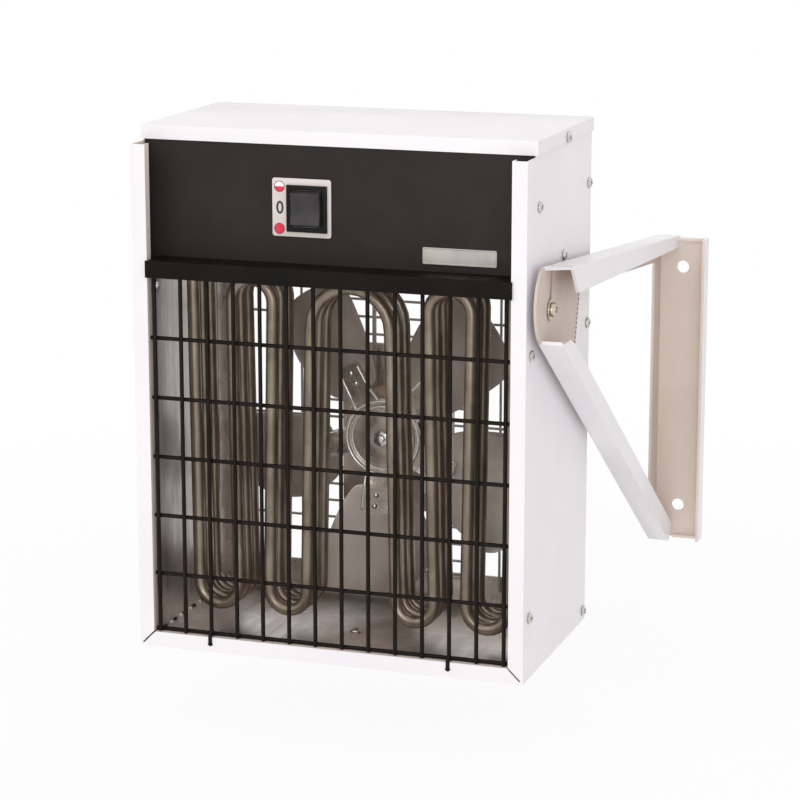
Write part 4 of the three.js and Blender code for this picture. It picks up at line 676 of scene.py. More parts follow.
    def stood(self, at: Point, along: Vector) -> "Solid":
        """Moves a solid that is drawn along z so that it stands at a place, along a direction."""
        turn = Vector(along).to_track_quat("Z", "Y").to_matrix().to_4x4()
        return self.moved(Matrix.Translation(Vector(at)) @ turn)

    def outward(self) -> "Solid":
        """Points every face outwards."""
        bmesh.ops.recalc_face_normals(self.mesh, faces=self.mesh.faces)
        return self

    def rounded(self, width: float, steps: int = 2, sharper_than: float = 30.0,
                longer_than: float = 0.0) -> "Solid":
        """Rounds the sharp convex and concave edges.

        Args:
            width: how far the rounding reaches from each edge.
            steps: faces across it.
            sharper_than: edges that turn less, in degrees, are left.
            longer_than: edges that are shorter are left.

        Returns:
            The same solid.
        """
        limit = math.radians(sharper_than)
        edges = [edge for edge in self.mesh.edges if len(edge.link_faces) == 2
                 and edge.calc_face_angle(0.0) > limit and edge.calc_length() > longer_than]
        bmesh.ops.bevel(self.mesh, geom=edges, offset=width, offset_type="OFFSET", segments=steps,
                        profile=0.5, affect="EDGES", clamp_overlap=True, material=-1)
        return self

    def folded(self, fold: float, sheet: float, longer_than: float = 8.0) -> "Solid":
        """Rounds the outside of a folded sheet's long folds, which lie between two wide faces.

        Args:
            fold: radius of the folds.
            sheet: the sheet's thickness.
            longer_than: shorter edges are left sharp.

        Returns:
            The same solid.
        """
        def wide(edge: bmesh.types.BMEdge) -> bool:
            """Whether neither face at the edge is the sheet's own thin rim."""
            narrow = RIM_SHARE * sheet * edge.calc_length()
            return all(face.calc_area() > narrow for face in edge.link_faces)

        limit = math.radians(FOLD_TURN)
        edges = [edge for edge in self.mesh.edges if len(edge.link_faces) == 2 and edge.is_convex
                 and edge.calc_face_angle(0.0) > limit and edge.calc_length() > longer_than
                 and wide(edge)]
        bmesh.ops.bevel(self.mesh, geom=edges, offset=fold, offset_type="OFFSET", segments=4,
                        profile=0.5, affect="EDGES", clamp_overlap=True, material=-1)
        return self


class Tube:
    """A round tube drawn along its way by extruding and spinning its end ring."""

    def __init__(self, start: Point, heading: Vector, radius: float, sides: int = 20) -> None:
        """Starts with a closed ring of edges.

        Args:
            start: the middle of the ring.
            heading: the way that the tube sets out.
            radius: of the tube.
            sides: how many it has.
        """
        self.solid = Solid()
        self.at, self.heading = Vector(start), heading.normalized()
        turn = self.heading.to_track_quat("Z", "Y").to_matrix().to_4x4()
        made = bmesh.ops.create_circle(self.solid.mesh, cap_ends=True, segments=sides, radius=radius,
                                       matrix=Matrix.Translation(self.at) @ turn)
        self.ring = list({edge for vert in made["verts"] for edge in vert.link_edges})

    def straight_to(self, point: Point) -> "Tube":
        """Runs straight to a point.

        Args:
            point: the middle of the new end.

        Returns:
            The same tube.
        """
        step = Vector(point) - self.at
        made = bmesh.ops.extrude_edge_only(self.solid.mesh, edges=self.ring)["geom"]
        verts = [part for part in made if isinstance(part, bmesh.types.BMVert)]
        fresh = set(verts)
        self.ring = [part for part in made if isinstance(part, bmesh.types.BMEdge)
                     and all(vert in fresh for vert in part.verts)]
        bmesh.ops.translate(self.solid.mesh, verts=verts, vec=step)
        self.at = Vector(point)
        return self

    def bend(self, centre: Point, axis: Vector, degrees: float, steps: int = 12) -> "Tube":
        """Bends round a centre.

        Args:
            centre: of the bend.
            axis: that the bend turns round.
            degrees: how far it turns.
            steps: how many straight pieces it has.

        Returns:
            The same tube.
        """
        angle = math.radians(degrees)
        verts = list({vert for edge in self.ring for vert in edge.verts})
        made = bmesh.ops.spin(self.solid.mesh, geom=verts + self.ring, cent=Vector(centre), axis=axis,
                              dvec=(0, 0, 0), angle=angle, steps=steps, use_duplicate=False)
        self.ring = [part for part in made["geom_last"] if isinstance(part, bmesh.types.BMEdge)]
        turn = Matrix.Rotation(angle, 3, axis)
        self.at = Vector(centre) + turn @ (self.at - Vector(centre))
        self.heading = turn @ self.heading
        return self

    def closed(self) -> Solid:
        """Closes the end and hands over the solid."""
        bmesh.ops.contextual_create(self.solid.mesh, geom=self.ring)
        return self.solid.outward()


class Piece:
    """A named piece of the object: solids joined in one mesh, each with its finish."""

    def __init__(self, name: str, body: str, *nodes: str) -> None:
        """Starts an empty piece.

        Args:
            name: the piece's name.
            body: the body that it moves with.
            nodes: the CAD nodes that it stands for.
        """
        self.name, self.body, self.nodes = name, body, nodes
        self.mesh = bmesh.new()
        self.finishes: list[Finish] = []

    def add(self, solid: Solid, finish: Finish, other: Finish | None = None,
            looks_to: Point | None = None) -> "Piece":
        """Joins a solid to the piece.

        Args:
            solid: the solid, which is used up.
            finish: its finish.
            other: finish of the faces that look towards a point.
            looks_to: that point.

        Returns:
            The piece.
        """
        solid.mesh.normal_update()
        for face in solid.mesh.faces:
            face.material_index = self.index_of(finish)
            if other and face.normal.dot(Vector(looks_to) - face.calc_center_median()) > 0:
                face.material_index = self.index_of(other)
        scratch = bpy.data.meshes.new("scratch")
        solid.mesh.to_mesh(scratch)
        solid.mesh.free()
        self.mesh.from_mesh(scratch)
        bpy.data.meshes.remove(scratch)
        return self

    def index_of(self, finish: Finish) -> int:
        """Finds a finish in the piece's list, and adds it if it isn't there.

        Args:
            finish: the finish.

        Returns:
            Its place in the list.
        """
        if finish not in self.finishes:
            self.finishes.append(finish)
        return self.finishes.index(finish)

    def finish(self, smooth_below: float = 40.0) -> bpy.types.Object:
        """Makes the object, dresses it and lets it ride on its body.

        Args:
            smooth_below: edges that turn more, in degrees, stay crisp.

        Returns:
            The new object, at the origin.
        """
        bmesh.ops.transform(self.mesh, matrix=INTO_FRAME, verts=self.mesh.verts)
        data = bpy.data.meshes.new(self.name)
        self.mesh.to_mesh(data)
        self.mesh.free()
        for layer in ("custom_normal", "UVMap", "sharp_face"):
            if layer in data.attributes:
                data.attributes.remove(data.attributes[layer])
        for finish in self.finishes:
            data.materials.append(finish.material())
        data.shade_smooth()
        data.set_sharp_from_angle(angle=math.radians(smooth_below))
        piece = bpy.data.objects.new(self.name, data)
        bpy.context.scene.collection.objects.link(piece)
        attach(piece, self.body)
        if self.nodes:
            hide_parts(*self.nodes)
        LOG.info("%s: %d faces on %s", self.name, len(data.polygons), self.body)
        return piece


def arc(centre: tuple[float, float], radius: float, start: float, end: float,
        steps: int) -> list[tuple[float, float]]:
    """Points on an arc in a plane.

    Args:
        centre: of the arc.
        radius: of the arc.
        start: the angle of the first point, in degrees.
        end: the angle of the last one.
        steps: straight pieces in the arc.

    Returns:
        The points.
    """
    angles = [math.radians(start + (end - start) * i / steps) for i in range(steps + 1)]
    return [(centre[0] + radius * math.cos(a), centre[1] + radius * math.sin(a)) for a in angles]


def round_rectangle(x: float, z: float, width: float, height: float, corner: float,
                    steps: int = 6) -> list[tuple[float, float]]:
    """The outline of a rectangle with round corners, in a plane.

    Args:
        x: its middle, across.
        z: its middle, upwards.
        width: across.
        height: upwards.
        corner: the corners' radius.
        steps: straight pieces in each corner.

    Returns:
        The outline's points.
    """
    points = []
    for quarter, (side, up) in enumerate(((1, 1), (-1, 1), (-1, -1), (1, -1))):
        centre = (x + side * (width / 2 - corner), z + up * (height / 2 - corner))
        points += arc(centre, corner, 90 * quarter, 90 * (quarter + 1), steps)
    return points


def plate(x: float, z: float, width: float, height: float, corner: float, front: float,
          back: float, edge: float = 0.2) -> Solid:
    """A plate with round corners and softened rims that stands across y."""
    outline = [(u, back, w) for u, w in round_rectangle(x, z, width, height, corner)]
    return Solid.slab(outline, Y * (front - back)).rounded(edge, sharper_than=60.0)


def wire(start: Point, end: Point, radius: float, tip: float, sides: int = 16) -> Solid:
    """A straight wire with softened ends."""
    return Solid.rod(start, end, radius, sides).rounded(tip, sharper_than=60.0)


def backwards(solid: Solid, x: float, z: float) -> Solid:
    """Lays a solid that is drawn up the z axis so that it runs back along y, at x and z."""
    return solid.moved(Matrix.Translation((x, 0, z)) @ Matrix.Rotation(-math.pi / 2, 4, X))


def dress(name: str, body: str, node: str, solid: Solid, finish: Finish,
          smooth_below: float = 40.0) -> None:
    """Makes a piece that is one solid in one finish."""
    Piece(name, body, node).add(solid, finish).finish(smooth_below)


# ---------------------------------------------------------------- casing

@dataclass(frozen=True)
class Row:
    """A row of short slots along y, where a fold is weakened so that it bends."""

    start: float
    end: float
    pitch: float
    length: float
    radius: float

    def bars(self, x: float, z: float) -> list[Solid]:
        """Makes the row's slots, as one bar for each.

        Args:
            x: across, where the row lies.
            z: up, where the row lies.

        Returns:
            The bars.
        """
        count = int((self.end - self.start) // self.pitch)
        places = [self.start + self.pitch * (i + 0.5) for i in range(count)]
        return [Solid.rod((x, y, z), (x, y + self.length, z), self.radius, sides=10) for y in places]


@dataclass
class Casing:
    """The folded white sheets, the liner, the panels and the floor of the compartment."""

    sheet: float = 1.2
    thin_sheet: float = 0.8
    fold: float = 1.0
    panel_fold: float = 0.8
    shortest_lid_fold: float = 6.0
    rim: tuple[float, int, float, float] = (0.14, 1, 50.0, 3.0)
    floor_rim: tuple[float, int, float, float] = (0.12, 1, 50.0, 3.0)
    half_width: float = 137.5
    inside: tuple[float, float, float] = (0.0, 79.0, 180.0)
    inside_lid: tuple[float, float, float] = (0.0, 79.0, 300.0)
    slots: Row = Row(4.0, 156.0, 13.2, 4.4, 0.5)
    dots: Row = Row(6.0, 144.0, 8.6, 2.6, 1.15)
    dots_at: tuple[float, float] = (134.8, 2.7)

    def build(self) -> None:
        """Builds every sheet of the casing."""
        self.wrap()
        self.lid()
        self.liner()
        self.panels()

    def wrap(self) -> None:
        """The U of the sides and floor, white outside and beige inside, its fold slots in painted shade."""
        piece = Piece("casing_sheet", "heater", "casing_wrap")
        sheet = Solid.of_node("casing_wrap").folded(self.fold, self.sheet)
        piece.add(sheet, WHITE, BEIGE, self.inside)
        inset = self.slots.radius
        for side in (-1, 1):
            for slot in self.slots.bars(side * (self.half_width - inset), inset):
                # Each slot is a dark bar of painted shade where the real slot is a hole.
                piece.add(slot, PAINTED_SHADE)
        piece.finish()

    def lid(self) -> None:
        """The pan over the top, with slit corners."""
        pan = Solid.of_node("lid").folded(self.fold, self.thin_sheet, self.shortest_lid_fold)
        piece = Piece("lid_pan", "heater", "lid")
        piece.add(pan.rounded(*self.rim), WHITE, BEIGE, self.inside_lid)
        piece.finish()

    def liner(self) -> None:
        """The shiny U round the air space, painted lighter on its floor, and its folds' perforations as
        painted dots.
        """
        piece = Piece("liner_sheet", "heater", "inner_liner")
        piece.add(Solid.of_node("inner_liner").folded(self.fold, self.thin_sheet), ZINC)
        # Painted light: faces that look up or down take a paler zinc than the walls of the same sheet.
        level = piece.index_of(ZINC_FLOOR)
        for face in piece.mesh.faces:
            if abs(face.normal.z) > STEEP:
                face.material_index = level
        x, z = self.dots_at
        for side in (-1, 1):
            # Perforations drawn as dots that alternate between painted shade and painted highlight.
            for number, dot in enumerate(self.dots.bars(side * x, z)):
                piece.add(dot, PAINTED_SHADE if number % 2 else PAINTED_HIGHLIGHT)
        piece.finish()

    def panels(self) -> None:
        """The sheet over the air space, the grained front panel and the rear panel with its shelf."""
        floor = Solid.of_node("compartment_floor").rounded(*self.floor_rim)
        dress("compartment_sheet", "heater", "compartment_floor", floor, ZINC_FLOOR)
        for node, finish in (("front_panel", BLACK), ("rear_panel", ZINC_FLOOR)):
            panel = Solid.of_node(node).folded(self.panel_fold, self.sheet).rounded(*self.rim)
            dress(f"{node}_sheet", "heater", node, panel, finish)


# ---------------------------------------------------------------- grilles

@dataclass
class WireMesh:
    """Upright and cross wires, welded where they meet."""

    radius: float
    sides: int
    tip: float
    weld: tuple[float, float, float]
    column_y: float
    row_y: float
    low: float
    high: float

    def weave(self, piece: Piece, columns: Sequence[float], rows: Sequence[tuple[float, float]],
              finish: Finish) -> None:
        """Adds the wires and their welds to a piece.

        Args:
            piece: the piece.
            columns: the uprights' distances from the middle.
            rows: each row's height and half its length.
            finish: the wires' finish.
        """
        look = (self.radius, self.tip, self.sides)
        for x in columns:
            piece.add(wire((x, self.column_y, self.low), (x, self.column_y, self.high), *look), finish)
        for z, half in rows:
            piece.add(wire((-half, self.row_y, z), (half, self.row_y, z), *look), finish)
            for x in (x for x in columns if abs(x) < half):
                piece.add(Solid.ball((x, (self.column_y + self.row_y) / 2, z), self.weld, sides=8), finish)


@dataclass
class FrontGrille(WireMesh):
    """Black wires under a folded bar; two uprights hook over the casing's lip."""

    radius: float = 1.4
    sides: int = 16
    tip: float = 0.4
    weld: tuple[float, float, float] = (1.75, 1.5, 1.6)
    column_y: float = 2.85
    row_y: float = 4.95
    low: float = 10.8
    high: float = 264.5
    half_width: float = 123.37
    columns: int = 14
    leg_columns: tuple[int, ...] = (2, 11)
    leg_y: float = -0.05
    leg_bends: tuple[float, float] = (15.5, 11.0)
    leg_low: float = 5.6
    leg_end: tuple[float, float, float] = (1.9, 1.5, 1.5)
    leg_end_back: float = 0.2
    rows: tuple[float, ...] = (262.0, 216.5, 175.26, 134.03, 92.79, 51.55, 12.05)
    row_half: float = 126.8
    anchored_row: int = 1
    anchored_half: float = 129.7
    bar_fold: float = 0.9
    bar_sheet: float = 1.2
    bar_rim: tuple[float, int, float, float] = (0.16, 1, 50.0, 1.0)

    def build(self) -> None:
        """Builds the wires, the two legs and the bar."""
        piece = Piece("grille_wires", "heater", "front_grille")
        pitch = 2 * self.half_width / (self.columns - 1)
        columns = [pitch * number - self.half_width for number in range(self.columns)]
        rows = [(z, self.anchored_half if number == self.anchored_row else self.row_half)
                for number, z in enumerate(self.rows)]
        self.weave(piece, columns, rows, WIRE_BLACK)
        for number in self.leg_columns:
            self.leg(piece, columns[number])
        piece.finish(smooth_below=50.0)
        bar = Solid.of_node("grille_top_bar").folded(self.bar_fold, self.bar_sheet)
        dress("grille_bar", "heater", "grille_top_bar", bar.rounded(*self.bar_rim), BAR_BLACK)

    def leg(self, piece: Piece, x: float) -> None:
        """Adds the end of an upright that hooks over the lip and goes into a hole in it.

        Args:
            piece: the piece of the wires.
            x: the upright's distance from the middle.
        """
        start, end = self.leg_bends
        slope = Vector((x, self.leg_y, end)) - Vector((x, self.column_y, start))
        tube = Tube((x, self.column_y, start), slope, self.radius, self.sides)
        tube.straight_to((x, self.leg_y, end)).straight_to((x, self.leg_y, self.leg_low))
        piece.add(tube.closed(), WIRE_BLACK)
        at = (x, self.leg_y + self.leg_end_back, self.leg_low)
        piece.add(Solid.ball(at, self.leg_end, sides=12), WIRE_BLACK)


@dataclass
class RearGuard(WireMesh):
    """Thin wires behind the fan: close rows on four uprights, three rows the whole width."""

    radius: float = 1.0
    sides: int = 12
    tip: float = 0.3
    weld: tuple[float, float, float] = (1.4, 1.3, 1.4)
    column_y: float = 154.3
    row_y: float = 152.5
    low: float = 14.0
    high: float = 259.3
    columns: tuple[float, ...] = (-75.0, -60.0, 60.0, 75.0)
    first_row: float = 22.5
    pitch: float = 12.5
    rows: int = 19
    wide_rows: tuple[int, ...] = (3, 9, 15)
    half: float = 62.0
    wide_half: float = 131.0

    def build(self) -> None:
        """Builds the wires and their welds."""
        piece = Piece("guard_wires", "heater", "rear_guard")
        rows = [(self.first_row + number * self.pitch,
                 self.wide_half if number in self.wide_rows else self.half)
                for number in range(self.rows)]
        self.weave(piece, self.columns, rows, GUARD_METAL)
        piece.finish(smooth_below=50.0)


# ---------------------------------------------------------------- heating elements

@dataclass
class HeatingElements:
    """Three bent tubes, one behind the other, hung from collars over the air space."""

    depths: tuple[float, ...] = (48.5, 63.1, 77.7)
    radius: float = 4.3
    leg_x: float = 114.5
    outer_bend: tuple[float, float] = (97.75, 34.75)
    outer_radius: float = 14.75
    small_arc: tuple[float, float] = (71.0, 237.0)
    small_radius: float = 15.0
    inner_bend: tuple[float, float] = (46.25, 33.75)
    inner_radius: float = 13.75
    wide_arc_z: float = 221.5
    wide_radius: float = 28.5
    top: float = 274.4
    seat: float = 260.7
    neck: float = 1.2
    collar: float = 6.8
    collar_height: float = 3.0
    collar_edge: float = 0.4
    plug_height: float = 1.4
    plug_slope: tuple[float, float] = (0.8, 0.4)
    plug_over: float = 0.2
    stud: float = 1.5
    stud_root: float = 1.25
    stud_pitch: float = 1.0
    stud_turns: int = 7
    stud_top: float = 282.4
    stud_tip: Profile = ((1.3, 0.4), (0.9, 0.0), (0.0, 0.0))

    def build(self) -> None:
        """Builds each tube with its fittings."""
        for number, y in enumerate(self.depths, start=1):
            piece = Piece(f"heating_tube_{number}", "heater", f"heating_element_{number}")
            piece.add(self.tube(y), BRONZE)
            for side in (-1, 1):
                self.fitting(piece, side * self.leg_x, y)
            piece.finish(smooth_below=50.0)

    def tube(self, y: float) -> Solid:
        """The bent tube, from its left stem to its right one.

        Args:
            y: its depth.

        Returns:
            The closed tube.
        """
        left = [(-self.outer_bend[0], self.outer_bend[1], self.outer_radius, -180),
                (-self.small_arc[0], self.small_arc[1], self.small_radius, 180),
                (-self.inner_bend[0], self.inner_bend[1], self.inner_radius, -180)]
        right = [(-x, z, radius, angle) for x, z, radius, angle in reversed(left)]
        tube = Tube((-self.leg_x, y, self.top), -Z, self.radius)
        tube.straight_to((-self.leg_x, y, self.seat - self.neck))
        for x, z, radius, angle in (*left, (0.0, self.wide_arc_z, self.wide_radius, 180), *right):
            tube.straight_to((x - radius, y, z)).bend((x, y, z), Y, angle)
        tube.straight_to((self.leg_x, y, self.seat - self.neck))
        return tube.straight_to((self.leg_x, y, self.top)).closed()

    def fitting(self, piece: Piece, x: float, y: float) -> None:
        """Adds a hexagonal collar, the pale plug in the tube's end and the threaded stud.

        Args:
            piece: the tube's piece.
            x: the stem's distance from the middle.
            y: the tube's depth.
        """
        high = self.seat + self.collar_height
        collar = Solid.rod((x, y, self.seat), (x, y, high), self.collar, sides=6)
        piece.add(collar.rounded(self.collar_edge), SCREW_METAL)
        over, (inset, drop) = self.radius + self.plug_over, self.plug_slope
        plug = [(0, self.top - self.plug_height), (over, self.top - self.plug_height),
                (over, self.top - drop), (over - inset, self.top), (0, self.top)]
        thread = [(0, self.top - self.stud_pitch / 2)]
        for turn in range(self.stud_turns):
            z = self.top + turn * self.stud_pitch
            thread += [(self.stud, z), (self.stud_root, z + self.stud_pitch / 2)]
        thread += [(radius, self.stud_top - below) for radius, below in self.stud_tip]
        place = Matrix.Translation((x, y, 0))
        piece.add(Solid.turned(plug, sides=20).moved(place), TERMINAL_PLASTIC)
        piece.add(Solid.turned(thread, sides=12).moved(place), SCREW_METAL)


# ---------------------------------------------------------------- fan and motor

@dataclass
class Fan:
    """Five twisted blades riveted to a pressed spider, on the motor's shaft.

    The first blade points straight down before the turn, and a blade is drawn for the first
    place: x runs along its chord, y along the axle and z away from the axle.
    """

    height: float = 131.3
    turn: float = 8.0
    disc_y: float = 116.9
    blade_behind: float = 1.95
    blades: int = 5
    root: float = 38.0
    tip: float = 116.65
    root_half: float = 10.0
    forward_half: float = 38.0
    forward_corner: float = 15.0
    rear_half: float = 58.0
    rear_corner: float = 38.0
    blade_sheet: float = 1.0
    blade_steps: tuple[int, int] = (29, 17)
    blade_edge: float = 0.3
    root_angle: float = 15.0
    tip_angle: float = 30.0
    arm_root: float = 24.0
    arm_tip: float = 56.0
    arm_width: float = 20.0
    arm_sheet: float = 1.5
    arm_steps: tuple[int, int] = (17, 15)
    pressed: float = 0.5
    pressed_share: float = 0.3
    rib_radius: float = 1.0
    rib_rise: float = 0.6
    rib_margin: float = 1.0
    rib_steps: int = 12
    rivets: tuple[float, ...] = (43.0, 51.0)
    rivet_rise: float = 0.7
    rivet_shape: Profile = ((0, -0.4), (2.1, -0.4), (2.1, 0.2), (1.5, 0.8), (0, 1.1))
    disc: float = 28.0
    disc_rim: float = 0.3
    bead: float = 25.0
    bead_shape: Profile = ((2.4, 0.2), (1.4, 1.35), (0.0, 1.8), (-1.4, 1.35), (-2.6, 0.2))
    boss_shape: Profile = ((15.0, 0.0), (13.0, 0.7), (9.0, 0.9), (0.0, 0.2))
    rings: Profile = ((26.6, 1.15), (22.6, 0.75))
    ring_rise: float = 0.9
    hub: float = 8.0
    hub_length: float = 4.0
    shaft: float = 3.0
    shaft_ends: tuple[float, float] = (108.9, 138.85)
    nut: float = 6.0
    nut_height: float = 4.5
    nut_seat: float = 0.3
    edge: float = 0.5
    shaft_edge: float = 0.6

    def build(self) -> None:
        """Builds the blades, the spider, the nut and the shaft."""
        for number in range(self.blades):
            blade = Solid.sheet(self.blade_steps, self.blade_place, self.blade_sheet)
            blade.rounded(self.blade_edge, sharper_than=60.0)
            blade.moved(self.on_axle(number, self.disc_y + self.blade_behind))
            dress(f"blade_{number + 1}", "fan", f"fan_blade_{number + 1}", blade, BLADE_METAL)
        self.spider()
        self.axle()

    def on_axle(self, number: int, y: float) -> Matrix:
        """Where a thing that is drawn for the first blade goes for another one, at a depth."""
        angle = math.pi + math.radians(self.turn) + math.tau * number / self.blades
        return Matrix.Translation((0.0, y, self.height)) @ Matrix.Rotation(angle, 4, Y)

    def twist(self, radius: float) -> float:
        """The sheet's angle to the fan's plane, which an arm takes up softly before the blade's root.

        Args:
            radius: from the axle.

        Returns:
            The angle, in radians.
        """
        if radius < self.root:
            share = min(max((radius - self.disc) / (self.root - self.disc), 0.0), 1.0)
            return math.radians(self.root_angle) * share * share * (3 - 2 * share)
        share = (radius - self.root) / (self.tip - self.root)
        return math.radians(self.root_angle + (self.tip_angle - self.root_angle) * share)

    def twisted(self, radius: float, chord: float, offset: float) -> tuple[float, float, float]:
        """A place on or over the twisted surface.

        Args:
            radius: from the axle.
            chord: along the sheet, from the arm's middle line.
            offset: off the sheet; a negative one is in front of it.

        Returns:
            The place, as drawn for the first blade.
        """
        twist = self.twist(radius)
        across = chord * math.cos(twist) + offset * math.sin(twist)
        axial = offset * math.cos(twist) - chord * math.sin(twist)
        angle = across / radius
        return radius * math.sin(angle), axial, radius * math.cos(angle)

    def half_blade(self, radius: float, tip_half: float, corner: float) -> float:
        """From the arm's middle line to one edge of the blade, whose tip has a round corner there.

        Args:
            radius: from the axle.
            tip_half: the edge's distance at the tip, without the corner.
            corner: the corner's radius.

        Returns:
            The distance along the sheet.
        """
        share = (radius - self.root) / (self.tip - self.root)
        half = self.root_half + (tip_half - self.root_half) * math.sqrt(share)
        past = max(radius - (self.tip - corner), 0.0)
        return half - corner + math.sqrt(max(corner ** 2 - past ** 2, 0.0))

    def blade_place(self, along: float, across: float) -> tuple[float, float, float]:
        """A place on the blade's middle surface, with stations crowded into the tip's corners.

        Args:
            along: share of the way from the root to the tip.
            across: share of the way from the rear edge to the forward one.

        Returns:
            The place, as drawn for the first blade.
        """
        start = self.tip - self.rear_corner
        radius = self.root + (start - self.root) * 2 * along
        if along >= 0.5:
            radius = start + self.rear_corner * math.sin((2 * along - 1) * math.pi / 2)
        rear = -self.half_blade(radius, self.rear_half, self.rear_corner)
        forward = self.half_blade(radius, self.forward_half, self.forward_corner)
        return self.twisted(radius, rear + (forward - rear) * across, 0.0)

    def before_blade(self, radius: float, chord: float, rise: float) -> Vector:
        """A place in front of the blade's sheet, drawn from the disc's own depth."""
        x, y, z = self.twisted(radius, chord, -self.blade_behind - rise)
        return Vector((x, y + self.blade_behind, z))

    def arm_place(self, along: float, across: float) -> Vector:
        """A place on an arm, whose long edges are pressed up.

        Args:
            along: share of the way from the disc to the arm's end.
            across: share of the way from one edge to the other.

        Returns:
            The place, as drawn for the first arm.
        """
        radius = self.arm_root + (self.arm_tip - self.arm_root) * along
        side = 2 * across - 1
        rise = self.pressed * max(0.0, abs(side) - (1 - self.pressed_share)) / self.pressed_share
        return self.before_blade(radius, side * self.arm_width / 2, rise)

    def spider(self) -> None:
        """The disc with its bead, the arms with their rivets, the sleeve, and rings and ribs as painted
        highlights.
        """
        piece = Piece("spider_pressing", "fan", "fan_spider")
        half = self.arm_sheet / 2
        profile = [(0, half), (self.disc, half), (self.disc + self.disc_rim, 0), (self.disc, -half)]
        profile += [(self.bead + out, -half - rise) for out, rise in self.bead_shape]
        profile += [(reach, -half - rise) for reach, rise in self.boss_shape]
        disc = backwards(Solid.turned(profile, sides=64), 0, 0)
        piece.add(disc.moved(self.on_axle(0, self.disc_y)), SPIDER_METAL)
        for number in range(self.blades):
            place = self.on_axle(number, self.disc_y)
            arm = Solid.sheet(self.arm_steps, self.arm_place, self.arm_sheet)
            piece.add(arm.moved(place), SPIDER_METAL)
            for radius in self.rivets:
                piece.add(self.rivet(radius).moved(place), SCREW_METAL)
            # Ribs in the painted-highlight finish stand for the glint along the pressed edges.
            for side in (-1, 1):
                piece.add(self.rib(side).moved(place), PAINTED_HIGHLIGHT)
        # Rings in the painted-highlight finish stand for glints round the bead.
        for reach, section in self.rings:
            centre = (0.0, self.disc_y - half - self.ring_rise, self.height)
            piece.add(Solid.ring(centre, Y, X, reach, section), PAINTED_HIGHLIGHT)
        sleeve = Solid.rod((0, 0, 0), (0, self.hub_length, 0), self.hub, sides=32).rounded(self.edge)
        piece.add(sleeve.moved(self.on_axle(0, self.disc_y)), SPIDER_METAL)
        piece.finish()

    def rib(self, side: int) -> Solid:
        """A rib along one edge of an arm, in a near-white finish that paints the pressed edge's highlight.

        Args:
            side: -1 for the rear edge, 1 for the forward one.

        Returns:
            The rib, as drawn for the first arm.
        """
        chord = side * (self.arm_width / 2 - self.rib_radius)
        start, end = self.bead + self.rib_margin, self.arm_tip - self.rib_radius - self.rib_margin
        places = [self.before_blade(start + (end - start) * i / self.rib_steps, chord, self.rib_rise)
                  for i in range(self.rib_steps + 1)]
        tube = Tube(places[0], places[1] - places[0], self.rib_radius, sides=10)
        for place in places[1:]:
            tube.straight_to(place)
        return tube.closed()

    def rivet(self, radius: float) -> Solid:
        """A flat-domed rivet head on an arm's middle line.

        Args:
            radius: from the axle.

        Returns:
            The head, as drawn for the first arm.
        """
        twist = self.twist(radius)
        facing = Vector((-math.sin(twist), -math.cos(twist), 0.0))
        head = Solid.turned(self.rivet_shape, sides=14)
        return head.stood(self.before_blade(radius, 0.0, self.rivet_rise), facing)

    def axle(self) -> None:
        """The hexagonal nut with softened corners, and the shaft."""
        front = self.disc_y - self.arm_sheet / 2 - self.nut_seat
        back = front - self.nut_height
        nut = Solid.rod((0, back, self.height), (0, front, self.height), self.nut, sides=6)
        dress("axle_nut", "fan", "fan_nut", nut.rounded(self.edge), SCREW_METAL)
        start, end = self.shaft_ends
        shaft = Solid.rod((0, start, self.height), (0, end, self.height), self.shaft, sides=24)
        dress("axle_shaft", "fan", "motor_shaft", shaft.rounded(self.shaft_edge), SCREW_METAL)


